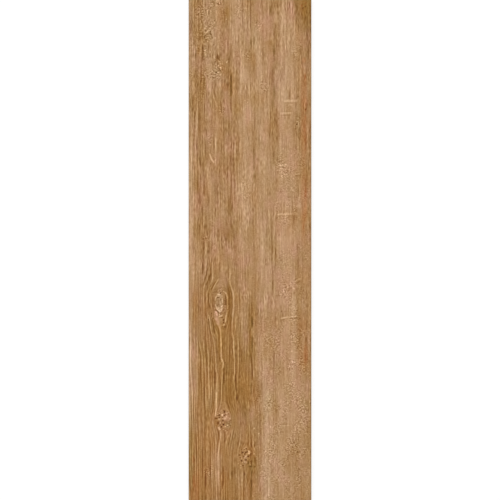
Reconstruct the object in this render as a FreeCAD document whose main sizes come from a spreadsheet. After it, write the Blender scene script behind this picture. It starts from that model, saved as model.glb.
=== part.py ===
"""Porcelain plank tile, pressed and fired as one piece, lying on its back with its face up.

Millimetres, +Z up. The origin is at the middle of the back, in the plane of the ribs that the
plank rests on. X runs across the plank and Y along it.

The plank is a rectified tile: its four sides are ground square after firing, the arris round the
face has a small ground bevel, and the arris round the back keeps a pressed chamfer. The back has
the keying relief that the lower die leaves for the adhesive: a waffle of shallow cells with drafted
walls and cut corners, parted by ribs and framed by a rim.
"""

import FreeCAD, Part
import Sketcher

import math
import os

# Driving dimensions in millimetres, and degrees for the draft: alias, value, what it is.
DIMENSIONS = [
    ("plank_width", 147.0, "across the plank, ground side to ground side"),
    ("plank_length", 600.0, "along the plank, ground end to ground end"),
    ("plank_thickness", 9.0, "from the ribs of the back to the face"),
    ("face_bevel", 0.6, "ground bevel round the face, along each of its two sides"),
    ("back_chamfer", 1.2, "pressed chamfer round the back, along each of its two sides"),
    ("cell_width", 20.0, "a keying cell across the plank, at its mouth"),
    ("cell_length", 18.0, "a keying cell along the plank, at its mouth"),
    ("cell_depth", 0.7, "from the ribs to the floor of a cell"),
    ("cell_corner_cut", 2.0, "cut across a corner of a cell at its mouth, along each of its two sides"),
    ("cell_draft", 30.0, "lean of the walls of a cell from upright, in degrees"),
    ("rib_width", 3.0, "between two cells, at their mouths"),
    ("rim_least", 5.0, "narrowest rim between the cells and the sides of the plank"),
]

SHEET_NAME = "dimensions"
PLANK_LABEL = "plank_tile"
PARTS_FOLDER = "parts"
SAME_HEIGHT = 1e-6


def size(alias):
    """Names one driving dimension in an expression."""
    return f"<<{SHEET_NAME}>>.{alias}"


def pitch(cell_size):
    """Expression for the step from one cell to the next."""
    return f"({size(cell_size)} + {size('rib_width')})"


def cells_that_fit(plank_size, cell_size):
    """Expression for how many cells fit between two rims, with a rib between neighbours."""
    room = f"({size(plank_size)} - 2 * {size('rim_least')} + {size('rib_width')})"
    return f"max(1; floor({room} / {pitch(cell_size)}))"


def cell_run(plank_size, cell_size):
    """Expression for the way from the middle of the first cell to the middle of the last."""
    return f"({cells_that_fit(plank_size, cell_size)} - 1) * {pitch(cell_size)}"


def add_dimension_sheet(doc):
    """Puts the driving dimensions into a sheet, one named cell each."""
    sheet = doc.addObject("Spreadsheet::Sheet", SHEET_NAME)
    sheet.Label = SHEET_NAME
    for row, (alias, value, meaning) in enumerate(DIMENSIONS, start=1):
        sheet.set(f"A{row}", alias)
        sheet.set(f"B{row}", str(value))
        sheet.setAlias(f"B{row}", alias)
        sheet.set(f"C{row}", meaning)
    doc.recompute()
    return sheet


def origin_feature(body, role):
    """Finds one of the body's own origin planes or axes."""
    return next(feature for feature in body.Origin.OriginFeatures if feature.Role == role)


def add_back_sketch(body, name):
    """Starts a sketch in the plane of the back."""
    sketch = body.newObject("Sketcher::SketchObject", name)
    sketch.AttachmentSupport = [(origin_feature(body, "XY_Plane"), "")]
    sketch.MapMode = "FlatFace"
    return sketch


def bind(sketch, name, constraint, expression):
    """Adds a named sketch dimension that follows an expression."""
    index = sketch.addConstraint(constraint)
    sketch.renameConstraint(index, name)
    sketch.setExpression(f"Constraints.{name}", expression)


def draw_plank_outline(sketch, sheet):
    """Draws the plank's rectangle, centred on the origin."""
    half_width = sheet.plank_width / 2
    half_length = sheet.plank_length / 2
    corners = [
        FreeCAD.Vector(x, y)
        for x, y in (
            (-half_width, -half_length),
            (half_width, -half_length),
            (half_width, half_length),
            (-half_width, half_length),
        )
    ]
    start, end = 1, 2
    sides = [
        sketch.addGeometry(Part.LineSegment(corner, corners[(i + 1) % 4]), False)
        for i, corner in enumerate(corners)
    ]
    for i, side in enumerate(sides):
        sketch.addConstraint(
            Sketcher.Constraint("Coincident", side, end, sides[(i + 1) % 4], start)
        )
        sketch.addConstraint(Sketcher.Constraint("Vertical" if i % 2 else "Horizontal", side))
    back_end, right_side = sides[0], sides[1]
    origin = (-1, 1)
    sketch.addConstraint(
        Sketcher.Constraint("Symmetric", back_end, start, right_side, end, *origin)
    )
    width = Sketcher.Constraint("DistanceX", back_end, start, back_end, end, sheet.plank_width)
    bind(sketch, "width", width, size("plank_width"))
    length = Sketcher.Constraint("DistanceY", right_side, start, right_side, end, sheet.plank_length)
    bind(sketch, "length", length, size("plank_length"))


def draw_cell_mouth(sketch, sheet):
    """Draws the mouth of the first keying cell, a rectangle with its corners cut off."""
    cut = sheet.cell_corner_cut
    half_width = sheet.cell_width / 2
    half_length = sheet.cell_length / 2
    # Corner signs, anticlockwise from the corner nearest the plank's own.
    quarters = [(-1, -1), (1, -1), (1, 1), (-1, 1)]
    points = []
    for across, along in quarters:
        on_side = FreeCAD.Vector(across * half_width, along * (half_length - cut))
        on_end = FreeCAD.Vector(across * (half_width - cut), along * half_length)
        points += [on_side, on_end] if across == along else [on_end, on_side]
    start, end = 1, 2
    count = len(points)
    lines = [
        sketch.addGeometry(Part.LineSegment(point, points[(i + 1) % count]), False)
        for i, point in enumerate(points)
    ]
    for i, line in enumerate(lines):
        following = lines[(i + 1) % count]
        sketch.addConstraint(Sketcher.Constraint("Coincident", line, end, following, start))
    corners, sides = lines[0::2], lines[1::2]
    for i, side in enumerate(sides):
        sketch.addConstraint(Sketcher.Constraint("Vertical" if i % 2 else "Horizontal", side))
    # Each cut runs anticlockwise, so its legs point by the signs of its corner.
    for i, ((across, along), corner) in enumerate(zip(quarters, corners)):
        left, right = (start, end) if along < 0 else (end, start)
        near, far = (start, end) if across > 0 else (end, start)
        leg_across = Sketcher.Constraint("DistanceX", corner, left, corner, right, cut)
        leg_along = Sketcher.Constraint("DistanceY", corner, near, corner, far, cut)
        bind(sketch, f"corner_{i}_across", leg_across, size("cell_corner_cut"))
        bind(sketch, f"corner_{i}_along", leg_along, size("cell_corner_cut"))
    near_end, right_side, far_end, left_side = sides
    bind(
        sketch,
        "mouth_width",
        Sketcher.Constraint("DistanceX", left_side, start, right_side, start, sheet.cell_width),
        size("cell_width"),
    )
    bind(
        sketch,
        "mouth_length",
        Sketcher.Constraint("DistanceY", near_end, start, far_end, start, sheet.cell_length),
        size("cell_length"),
    )
    cell_middle = sketch.addGeometry(Part.Point(FreeCAD.Vector(0, 0)), True)
    sketch.addConstraint(
        Sketcher.Constraint("Symmetric", near_end, start, far_end, start, cell_middle, 1)
    )
    origin = (-1, 1)
    bind(
        sketch,
        "across_from_middle",
        Sketcher.Constraint("DistanceX", cell_middle, 1, *origin, half_width),
        cell_run("plank_width", "cell_width") + " / 2",
    )
    bind(
        sketch,
        "along_from_middle",
        Sketcher.Constraint("DistanceY", cell_middle, 1, *origin, half_length),
        cell_run("plank_length", "cell_length") + " / 2",
    )


def edges_at_height(feature, height):
    """Names the edges of a feature that lie wholly in one level plane."""
    return [
        f"Edge{i}"
        for i, edge in enumerate(feature.Shape.Edges, start=1)
        if all(abs(vertex.Z - height) < SAME_HEIGHT for vertex in edge.Vertexes)
    ]


def bevel_arris(body, name, base, height, leg):
    """Bevels every edge of the base that lies at one height."""
    bevel = body.newObject("PartDesign::Chamfer", name)
    bevel.Base = (base, edges_at_height(base, height))
    bevel.setExpression("Size", size(leg))
    body.Document.recompute()
    return bevel


def press_keying_cells(body, sheet):
    """Presses the waffle of cells into the back."""
    sketch = add_back_sketch(body, "cell_mouth")
    draw_cell_mouth(sketch, sheet)
    body.Document.recompute()
    first_cell = body.newObject("PartDesign::Pocket", "first_cell")
    first_cell.Profile = sketch
    first_cell.Reversed = True
    first_cell.setExpression("Length", size("cell_depth"))
    first_cell.setExpression("TaperAngle", f"-{size('cell_draft')} * 1 deg")
    body.Document.recompute()

    waffle = body.newObject("PartDesign::LinearPattern", "waffle")
    waffle.Originals = [first_cell]
    # No two faces of the waffle meet in one plane, so there is nothing to merge.
    waffle.Refine = False
    waffle.Direction = (origin_feature(body, "X_Axis"), [""])
    waffle.Mode = "Extent"
    waffle.setExpression("Length", cell_run("plank_width", "cell_width"))
    waffle.setExpression("Occurrences", cells_that_fit("plank_width", "cell_width"))
    waffle.Direction2 = (origin_feature(body, "Y_Axis"), [""])
    waffle.Mode2 = "Extent"
    waffle.setExpression("Length2", cell_run("plank_length", "cell_length"))
    waffle.setExpression("Occurrences2", cells_that_fit("plank_length", "cell_length"))
    body.Tip = waffle
    body.Document.recompute()
    return first_cell, waffle


def build_plank(doc, sheet):
    """Builds the tile's one solid: blank, ground bevel, pressed chamfer and keyed back."""
    body = doc.addObject("PartDesign::Body", PLANK_LABEL)
    body.Label = PLANK_LABEL
    outline = add_back_sketch(body, "plank_outline")
    draw_plank_outline(outline, sheet)
    doc.recompute()
    blank = body.newObject("PartDesign::Pad", "blank")
    blank.Profile = outline
    blank.setExpression("Length", size("plank_thickness"))
    doc.recompute()
    face_arris = bevel_arris(body, "face_arris", blank, sheet.plank_thickness, "face_bevel")
    back_arris = bevel_arris(body, "back_arris", face_arris, 0.0, "back_chamfer")
    first_cell, waffle = press_keying_cells(body, sheet)
    check_waffle(back_arris, first_cell, waffle)
    return body


def check_waffle(back_arris, first_cell, waffle):
    """Makes sure that every cell of the waffle was cut, and cut inwards."""
    one_cell = back_arris.Shape.Volume - first_cell.Shape.Volume
    all_cells = back_arris.Shape.Volume - waffle.Shape.Volume
    wanted = waffle.Occurrences * waffle.Occurrences2 * one_cell
    if one_cell <= 0 or not math.isclose(all_cells, wanted, rel_tol=1e-6):
        raise RuntimeError(f"the cells take out {all_cells} mm3 and should take {wanted} mm3")
    print(f"{waffle.Occurrences} by {waffle.Occurrences2} cells of {one_cell:.1f} mm3")


def check_document(doc, sub_parts):
    """Stops before anything is written if an object failed or a shape is not a sound solid."""
    for item in doc.Objects:
        if {"Invalid", "Error"} & set(item.State):
            raise RuntimeError(f"{item.Label} failed to recompute: {item.State}")
    for sub_part in sub_parts:
        shape = sub_part.Shape
        if shape.isNull() or not shape.isValid() or len(shape.Solids) != 1:
            raise RuntimeError(f"{sub_part.Label} is not one sound solid")


def export_parts(sub_parts):
    """Writes each sub-part to a file named after its label."""
    os.makedirs(PARTS_FOLDER, exist_ok=True)
    for sub_part in sub_parts:
        sub_part.Shape.exportStep(os.path.join(PARTS_FOLDER, f"{sub_part.Label}.step"))
        box = sub_part.Shape.BoundBox
        print(
            f"{sub_part.Label}: {box.XLength:.2f} x {box.YLength:.2f} x {box.ZLength:.2f} mm, "
            f"{sub_part.Shape.Volume / 1000:.1f} cm3, {len(sub_part.Shape.Faces)} faces"
        )


def main():
    doc = FreeCAD.newDocument("plank_tile_model")
    sheet = add_dimension_sheet(doc)
    sub_parts = [build_plank(doc, sheet)]
    doc.recompute()
    check_document(doc, sub_parts)
    export_parts(sub_parts)


main()
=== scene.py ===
"""Looks of a wood look porcelain plank tile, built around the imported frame.

Metres, +Z up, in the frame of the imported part: the plank lies on its back with its printed face up,
X across it and Y along it. The plank is one fired piece, so the scene has one piece for it, with a
printed glaze on the face and bare porcelain on the sides and the back.

The wood figure of the print is placed feature by feature, as read off the photograph and corrected
where renders differed from it. Its places are pixels of the 500 x 500 photograph, in which the plank
is seen straight on, and its strengths are steps of an eight-bit grey scale. Each feature is worked out
at the points of the face, as tone and hue of the ink, as fleck, as flow of the grain round the knots
and as depth of the emboss, and the glaze's nodes turn those into colour.
"""

from __future__ import annotations

import logging
import math
from dataclasses import dataclass, field
from enum import Enum

import bmesh
import bpy
import numpy as np
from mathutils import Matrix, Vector, noise

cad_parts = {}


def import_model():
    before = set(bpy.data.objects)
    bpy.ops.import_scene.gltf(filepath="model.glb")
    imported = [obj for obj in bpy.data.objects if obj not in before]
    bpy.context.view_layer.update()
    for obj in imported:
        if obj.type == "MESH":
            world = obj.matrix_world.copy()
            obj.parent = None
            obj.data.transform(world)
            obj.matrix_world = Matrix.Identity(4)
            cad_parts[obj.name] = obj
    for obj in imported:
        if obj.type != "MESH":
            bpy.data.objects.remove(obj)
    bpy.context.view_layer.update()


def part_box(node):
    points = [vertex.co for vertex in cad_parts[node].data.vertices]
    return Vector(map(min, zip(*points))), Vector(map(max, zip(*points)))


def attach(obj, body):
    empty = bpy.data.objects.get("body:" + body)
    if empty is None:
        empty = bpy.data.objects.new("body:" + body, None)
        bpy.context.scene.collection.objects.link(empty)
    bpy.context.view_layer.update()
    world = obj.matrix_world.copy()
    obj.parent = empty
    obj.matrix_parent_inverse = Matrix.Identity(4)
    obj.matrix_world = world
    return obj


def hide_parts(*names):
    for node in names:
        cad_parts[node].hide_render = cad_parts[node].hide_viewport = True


LOG = logging.getLogger("plank_tile")

MM = 0.001
IMAGE_SIDE = 500
WHITE = 255.0
PLANK_NODE = "plank_tile"
ROOT_BODY = "root"
BAKE_MAP = "OFBake"
FIGURE = "figure"
FLOW = "grain_flow"
SURFACE = "surface"

# Points nearer to each other than this are the same.
TOUCH = 0.001 * MM

# A noise, and what is made from one, lies about this value.
MIDDLE = 0.5

# The way from one noise to the next, along each axis.
LAYER_STEP = (1.0, 0.37, 0.61)

# The picture leaves out the bevels at both ends of the plank.
END_TRIM = 0.9 * MM

# The render's pixel filter weakens lines thinner than two pixels, so they are printed stronger.
THIN_LINE_GAIN = 1.35

# Thin lines take less of an ink's hue than broad bands of it do.
FINE_TINT = 0.5

# Half the width of a broad band's soft edges, in pixels.
SOFT_ACROSS = 2.5
SOFT_ALONG = 16.0

Rgb = tuple[float, float, float]
Pixel = tuple[float, float]
Socket = bpy.types.NodeSocket


def linear(colour: Rgb) -> tuple[float, float, float, float]:
    """Turns an eight-bit screen colour into the linear colour that a socket holds, by the sRGB curve.

    Args:
        colour: red, green and blue from 0 to 255.

    Returns:
        Linear red, green and blue, and an alpha of 1.
    """
    parts = [part / WHITE for part in colour]
    red, green, blue = [p / 12.92 if p <= 0.04045 else ((p + 0.055) / 1.055) ** 2.4 for p in parts]
    return red, green, blue, 1.0


def read(items: bpy.types.bpy_prop_collection, name: str, width: int) -> np.ndarray:
    """Reads one property of all parts of a mesh.

    Args:
        items: points, corners or faces of the mesh.
        name: the property.
        width: how many numbers it has.

    Returns:
        One row for each part.
    """
    kind = np.int32 if width == 1 else np.float64
    numbers = np.zeros(len(items) * width, kind)
    items.foreach_get(name, numbers)
    return numbers.reshape(-1, width)


def stand(name: str, data: bpy.types.ID) -> bpy.types.Object:
    """Makes an object and links it to the scene.

    Args:
        name: the object's name.
        data: its mesh, lamp or camera.

    Returns:
        The object, at the origin.
    """
    made = bpy.data.objects.new(name, data)
    bpy.context.scene.collection.objects.link(made)
    return made


class Side(Enum):
    """Material slots of the plank."""

    GLAZE = 0
    BODY = 1


@dataclass(frozen=True)
class InkShift:
    """What one unit of an ink does to the print."""

    tone: float
    gold: float = 0.0
    rust: float = 0.0


class Ink(Enum):
    """The inks of the wood figure, as shifts of tone and hue."""

    PALE = InkShift(1.0)
    ROSE = InkShift(0.9, gold=-0.9, rust=0.2)
    DARK = InkShift(-1.0)
    GOLD = InkShift(-0.9, gold=0.8, rust=0.1)
    OLIVE = InkShift(-1.0, gold=0.6, rust=-0.6)
    RUST = InkShift(-0.4, gold=0.2, rust=1.2)
    GREY = InkShift(0.8, gold=-0.8, rust=-0.5)
    AMBER = InkShift(0.4, gold=1.0)
    MOSS = InkShift(0.3, rust=-1.0)


@dataclass(frozen=True)
class PhotoFrame:
    """The photograph's frame, laid on the face of the plank.

    The face fills the frame from its top edge to its bottom edge, without the bevels at its ends. The
    columns of the plank's sides are given a third of a pixel further left than they show, so that
    marks that were read off at the middles of pixels fall in place.
    """

    width: float
    length: float
    left_column: float = 188.45
    right_column: float = 311.15

    @property
    def across_step(self) -> float:
        """Metres across the face in one pixel."""
        return self.width / (self.right_column - self.left_column)

    @property
    def along_step(self) -> float:
        """Metres along the face in one pixel."""
        return (self.length - 2 * END_TRIM) / IMAGE_SIDE

    @property
    def middle_column(self) -> float:
        """Pixel column of the middle of the plank."""
        return (self.left_column + self.right_column) / 2

    def columns(self, across: np.ndarray) -> np.ndarray:
        """Turns places across the face into pixel columns."""
        return self.middle_column + across / self.across_step

    def rows(self, along: np.ndarray) -> np.ndarray:
        """Turns places along the face into pixel rows."""
        return IMAGE_SIDE / 2 - along / self.along_step


def soft_step(value: np.ndarray, edge: float, soft: float) -> np.ndarray:
    """Rises smoothly from 0 to 1 over a band that reaches as far as soft to both sides of an edge."""
    part = np.clip((value - edge) / (2 * soft) + 0.5, 0.0, 1.0)
    return part * part * (3 - 2 * part)


def grain_noise(across: np.ndarray, along: np.ndarray, layer: float) -> np.ndarray:
    """Reads one of many smooth noises, from about -1 to 1, with a grain to a unit of the coordinates."""
    return np.array([noise.noise((a, b, layer)) for a, b in zip(across.tolist(), along.tolist())])


@dataclass
class FigureFields:
    """The print and the emboss at each point of the face."""

    columns: np.ndarray
    rows: np.ndarray
    tone: np.ndarray = field(init=False)
    line: np.ndarray = field(init=False)
    gold: np.ndarray = field(init=False)
    rust: np.ndarray = field(init=False)
    fleck: np.ndarray = field(init=False)
    shift: np.ndarray = field(init=False)
    groove: np.ndarray = field(init=False)
    combed: np.ndarray = field(init=False)

    def __post_init__(self) -> None:
        """Starts every field at nothing."""
        for name in ("tone", "line", "gold", "rust", "fleck", "shift", "groove", "combed"):
            setattr(self, name, np.zeros_like(self.columns))

    def print_ink(self, ink: Ink, amount: np.ndarray, fine: bool = False) -> None:
        """Lays an ink on the face.

        Args:
            ink: which ink.
            amount: how much of it at each point, in grey steps.
            fine: whether it is a thin line, whose tone only lightens or darkens what lies under it.
        """
        if fine:
            self.line += ink.value.tone * amount
        else:
            self.tone += ink.value.tone * amount
        tint = FINE_TINT * amount if fine else amount
        self.gold += ink.value.gold * tint
        self.rust += ink.value.rust * tint


@dataclass(frozen=True)
class Band:
    """A soft-edged upright window on the face."""

    columns: tuple[float, float]
    rows: tuple[float, float]
    soft_across: float = SOFT_ACROSS
    soft_along: float = SOFT_ALONG

    def share(self, fields: FigureFields) -> np.ndarray:
        """Finds how far each point lies in the window, from 0 to 1."""
        left, right = self.columns
        top, foot = self.rows
        across = soft_step(fields.columns, left, self.soft_across)
        across *= 1 - soft_step(fields.columns, right, self.soft_across)
        along = soft_step(fields.rows, top, self.soft_along)
        along *= 1 - soft_step(fields.rows, foot, self.soft_along)
        return across * along


@dataclass(frozen=True)
class Stave:
    """A broad soft band of ink that runs along the grain."""

    ink: Ink
    amount: float
    columns: tuple[float, float]
    rows: tuple[float, float]
    soft_along: float = SOFT_ALONG
    soft_across: float = SOFT_ACROSS

    def lay(self, fields: FigureFields) -> None:
        """Adds the band to the fields."""
        band = Band(self.columns, self.rows, self.soft_across, self.soft_along)
        fields.print_ink(self.ink, self.amount * band.share(fields))


@dataclass(frozen=True)
class Weave:
    """A stretch where long fine lines or specks stand out, or with less than nothing are few."""

    columns: tuple[float, float]
    rows: tuple[float, float]
    lines: float = 0.0
    specks: float = 0.0
    soft_across: float = 4.0

    def lay(self, fields: FigureFields) -> None:
        """Adds the stretch to the fields."""
        share = Band(self.columns, self.rows, self.soft_across).share(fields)
        fields.combed += self.lines * share
        fields.fleck += self.specks * share


@dataclass(frozen=True)
class Stroke:
    """A thin line of the figure: a pale thread, a dark seam or a scar across the grain.

    Beside it the print leans a little the other way, which sets it off from the ground. Places and
    lengths are in pixels, and reach, core and brink in breadths of the line.
    """

    ink: Ink
    amount: float
    path: tuple[Pixel, ...]
    breadth: float = 0.8
    fade: float = 5.0
    reach: float = 3.5
    core: float = 0.75
    brink: float = 1.7
    brink_share: float = 0.4
    full_groove: float = 25.0

    def lay(self, fields: FigureFields) -> None:
        """Adds the line to the fields, and cuts a dark one into the emboss."""
        weight = np.zeros_like(fields.columns)
        reach = self.reach * self.breadth
        lefts, tops = zip(*self.path)
        near = (fields.columns > min(lefts) - reach) & (fields.columns < max(lefts) + reach)
        near &= (fields.rows > min(tops) - reach) & (fields.rows < max(tops) + reach)
        weight[near] = self._profile(fields.columns[near], fields.rows[near])
        fields.print_ink(self.ink, THIN_LINE_GAIN * self.amount * weight, fine=True)
        fields.groove -= self.ink.value.tone * weight * min(1.0, self.amount / self.full_groove)

    def _profile(self, columns: np.ndarray, rows: np.ndarray) -> np.ndarray:
        """Works out the line's strength near it.

        Args:
            columns: pixel columns of the points near the line.
            rows: pixel rows of the same points.

        Returns:
            1 on the line, a little below 0 beside it and 0 away from it.
        """
        weight = np.zeros_like(columns)
        gone = 0.0
        whole = sum(math.dist(a, b) for a, b in zip(self.path, self.path[1:]))
        for start, end in zip(self.path, self.path[1:]):
            run = math.dist(start, end)
            ahead = ((end[0] - start[0]) / run, (end[1] - start[1]) / run)
            east = columns - start[0]
            south = rows - start[1]
            along = np.clip(east * ahead[0] + south * ahead[1], 0.0, run)
            away = np.hypot(east - along * ahead[0], south - along * ahead[1])
            ends = np.minimum(gone + along, whole - gone - along)
            taper = np.sqrt(np.clip(ends / min(self.fade, whole / 2), 0.0, 1.0))
            core = np.exp(-((away / (self.core * self.breadth)) ** 2))
            brink = np.exp(-((away / (self.brink * self.breadth)) ** 2))
            part = taper * ((1 + self.brink_share) * core - self.brink_share * brink)
            weight = np.where(np.abs(part) > np.abs(weight), part, weight)
            gone += run
        return weight


@dataclass(frozen=True)
class Patch:
    """A soft round patch of ink or of fleck."""

    centre: Pixel
    reach: Pixel
    fleck: float = 0.0
    ink: Ink = Ink.PALE
    amount: float = 0.0
    edge: float = 0.9
    soft: float = 0.35

    def lay(self, fields: FigureFields) -> None:
        """Adds the patch to the fields."""
        east = (fields.columns - self.centre[0]) / self.reach[0]
        south = (fields.rows - self.centre[1]) / self.reach[1]
        weight = 1 - soft_step(np.hypot(east, south), self.edge, self.soft)
        fields.fleck += self.fleck * weight
        fields.print_ink(self.ink, self.amount * weight)


@dataclass(frozen=True)
class Knot:
    """A knot that the grain flows round."""

    centre: Pixel
    half_width: float
    half_height: float
    fleck: float
    lean: float = 0.0
    spread: float = 5.0
    rim: float = 1.0
    rim_soft: float = 0.12

    def lay(self, fields: FigureFields) -> None:
        """Bends the flow round the knot and flecks it."""
        south = fields.rows - self.centre[1]
        east = fields.columns - self.centre[0] - self.lean * south
        radius = np.hypot(east / self.half_width, south / self.half_height)
        fields.shift += east / np.maximum(radius, self.rim) ** 2 * np.exp(-((radius / self.spread) ** 2))
        fields.fleck += self.fleck * (1 - soft_step(radius, self.rim, self.rim_soft))


def staves(ink: Ink, *bands: tuple[float, ...]) -> list[Stave]:
    """Makes broad bands, each from its strength, left and right column, top and foot row."""
    return [Stave(ink, amount, (left, right), (top, foot)) for amount, left, right, top, foot in bands]


def patches(ink: Ink, *places: tuple[float, ...]) -> list[Patch]:
    """Makes patches of ink, each from its strength, column, row, reach across and reach along."""
    return [Patch((x, y), (wide, high), ink=ink, amount=amount) for amount, x, y, wide, high in places]


def flecks(*places: tuple[float, ...]) -> list[Patch]:
    """Makes flecked patches, each from its fleck, column, row, reach across and reach along."""
    return [Patch((x, y), (wide, high), fleck) for fleck, x, y, wide, high in places]


def strokes(ink: Ink, breadth: float, *lines: tuple, fade: float = 5.0) -> list[Stroke]:
    """Makes thin lines of one breadth, each from its strength and then its points."""
    return [Stroke(ink, amount, tuple(points), breadth, fade) for amount, *points in lines]


def uprights(ink: Ink, amount: float, breadth: float, *runs: tuple[float, ...]) -> list[Stroke]:
    """Makes straight lines of one strength and breadth, each from its column, top and foot row."""
    return [Stroke(ink, amount, ((x, top), (x, foot)), breadth) for x, top, foot in runs]


def dots(ink: Ink, amount: float, breadth: float, *places: Pixel) -> list[Stroke]:
    """Makes round spots of one strength and breadth, each from its column and row."""
    half, no_fade = 0.5, 0.01
    return [Stroke(ink, amount, ((x, y - half), (x, y + half)), breadth, no_fade) for x, y in places]


# Broad pale bands from the left side of the plank to the right, each where it shows.
PALE_STAVES = staves(
    Ink.PALE, (7, 186, 192, 4, 34), (6, 186, 192, 165, 280), (5, 186, 192, 170, 226),
    (6, 186, 193, 172, 222), (9, 186, 192, 172, 196), (9, 186, 192, 300, 350),
    (6, 186, 192, 338, 412), (4, 191.5, 196.5, 100, 152), (10, 192, 196.5, 46, 74),
    (7, 195.5, 200, 98, 146), (12, 196, 200.5, 246, 278), (7, 199, 205, 420, 450),
    (11, 199.5, 204, 422, 450), (4, 200, 246, -20, 20), (5, 203, 209, 246, 282),
    (6, 203.5, 208.5, 224, 275), (6, 204, 208.5, 98, 146), (6, 204.5, 221, 14, 78),
    (4, 206, 218, -20, 220), (5, 209, 215, 172, 198), (8, 210, 221, 448, 520),
    (5, 215, 221, 448, 520), (9, 216, 222, 398, 412), (7, 216, 220.5, 446, 500),
    (5, 221, 227, 74, 100), (6, 221, 227, 196, 222), (15, 221, 227, 198, 224),
    (6, 227.5, 233, 424, 475), (12, 230, 243, -20, 48), (4, 233, 246, 20, 50), (6, 233, 239, 20, 50),
    (6, 233, 252, 198, 224), (7, 233, 239, 345, 375), (6, 233, 239, 446, 476),
    (6, 233, 239, 448, 520), (13, 238, 250, 65, 248), (5, 239, 246, 72, 102), (7, 239, 246, 398, 480),
    (5, 240, 252.5, 298, 322), (5, 242, 250, -20, 60), (9, 247, 252.5, 172, 200),
    (7, 248, 256, 398, 424), (4, 250, 258, 20, 285), (9, 252.8, 256.5, 322, 352),
    (6, 255.5, 261, 48, 130), (8, 255.5, 261, 118, 152), (7, 255.5, 261, 222, 250),
    (8, 256.5, 261, 24, 75), (10, 258, 270, -20, 380), (7, 261, 266.5, 222, 250),
    (5, 261, 268, 222, 248), (5, 261.5, 266.5, 372, 420), (6, 261.5, 266.5, 470, 520),
    (6, 271, 282, 150, 520), (6, 272, 285, 445, 520), (5, 275, 305, 418, 452),
    (6, 278, 285, 100, 148), (8, 279, 285, 18, 50), (11, 280, 294, -20, 420), (5, 280, 294, 420, 520),
    (6, 286, 297, 24, 75), (7, 291, 297, 75, 110), (7, 291, 297, 172, 198), (9, 291, 297, 218, 250),
    (8, 291, 297, 300, 325), (8, 291, 299, 340, 412), (6, 291.5, 297, 298, 372),
    (8, 291.5, 297, 298, 325), (6, 297, 312, -20, 18), (6, 297, 304, 196, 222),
    (4, 297, 306, 375, 470), (7, 297, 301, 472, 520), (7, 298, 306, 176, 246),
    (8, 300.5, 314, 298, 325), (9, 301, 305, 298, 352), (7, 301, 305, 346, 375),
    (2, 304.5, 314, 75, 150), (12, 304.5, 314, 470, 520),
)

# Broad dark bands, in the same order as the pale ones.
DARK_STAVES = staves(
    Ink.DARK, (9, 186, 192, 50, 150), (12, 186, 193, 415, 520), (5, 186, 192, 446, 474),
    (7, 186, 192, 446, 472), (7, 191.5, 196, 98, 122), (6, 192, 205, 64, 92), (7, 192, 197, 74, 122),
    (7, 195.5, 200.5, 172, 198), (8, 196, 200, 150, 200), (12, 196, 200, 172, 198),
    (7, 198, 206, 55, 345), (7, 200, 204.5, 48, 76), (5, 201, 205, 346, 376),
    (6, 209.5, 214.5, 100, 150), (7, 214.5, 221, 172, 198), (7, 215, 221, 272, 288),
    (6, 215.5, 220.5, 272, 290), (3, 218, 230, -20, 275), (6, 221, 227, 20, 50),
    (6, 221, 239, 224, 250), (6, 221.5, 227, 24, 50), (7, 221.5, 239, 226, 250),
    (8, 228, 233, 100, 230), (6, 228, 233, 122, 196), (7, 233.5, 239, 222, 252),
    (9, 247.5, 252, 322, 350), (5, 248, 252.5, 150, 172), (6, 248, 252.5, 322, 350),
    (9, 248.5, 251.5, 20, 55), (16, 248.5, 251.5, 322, 350), (6, 252, 257, 46, 76),
    (5, 256, 273, -20, 24), (6, 261, 273, 198, 222), (4, 270, 277, -20, 140), (5, 279, 291, 276, 326),
    (6, 280, 290, 345, 375), (5, 285, 291, -20, 20), (4, 290, 308, 374, 400),
    (7, 296.5, 301, 300, 376), (10, 301.5, 309, 98, 126), (5, 304, 314, 310, 375),
    (3, 304, 314, 375, 520), (12, 304.5, 314, -20, 70), (9, 305, 314, 48, 76),
    (5, 305, 314, 148, 196),
)

# Broad honey-brown bands, most of them round and below the knots.
GOLD_STAVES = staves(
    Ink.GOLD, (8, 186, 206, 425, 520), (5, 190, 203, 78, 118), (6, 192, 203, 10, 50),
    (11, 192, 197, 292, 330), (15, 198, 206, 345, 392), (7, 198, 206, 392, 520),
    (9, 206, 218, 272, 436), (3, 206, 218, 436, 520), (6, 209, 215, 345, 378),
    (15, 218, 230, 322, 402), (8, 218, 230, 405, 520), (5, 221, 245, 374, 402),
    (6, 221, 250, 376, 404), (10, 221, 228, 468, 520), (10, 221.5, 230, 280, 326),
    (17, 228, 250, 350, 408), (9, 230, 242, 290, 345), (9, 230, 250, 410, 520),
    (10, 249, 256, 300, 380), (5, 298, 309, 290, 372),
)

# Stretches that lean to amber.
AMBER_STAVES = staves(
    Ink.AMBER, (4, 186, 196, -20, 60), (7, 186, 208, 395, 520), (5, 186, 215, 424, 520),
    (5, 186, 208, 445, 520), (5, 189, 199, 75, 200), (4, 194, 232, 440, 520),
    (10, 195, 207, 290, 326), (6, 196, 256, 318, 404), (6, 200, 240, 372, 404),
    (5, 204, 232, 372, 402), (5, 221, 233, 168, 250), (6, 248, 252.5, 300, 350),
    (14, 248, 253, 440, 520), (6, 297, 305, 75, 200), (9, 300, 306, 312, 400),
    (6, 301, 306, 318, 350),
)

# Stretches that lean to green.
MOSS_STAVES = staves(
    Ink.MOSS, (7, 186, 192, -20, 520), (4, 186, 196, -20, 60), (5, 186, 196, 425, 520),
    (6, 203, 216, -20, 80), (6, 240, 258, 18, 52), (6, 250, 260, 98, 130), (5, 260, 274, 150, 300),
    (2.5, 262, 314, 368, 520), (6, 273, 290, 62, 102), (4, 273, 291, 146, 196),
    (5, 273, 285, 262, 304), (5, 296, 302, 100, 146), (6, 305, 314, 46, 108),
)

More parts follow.
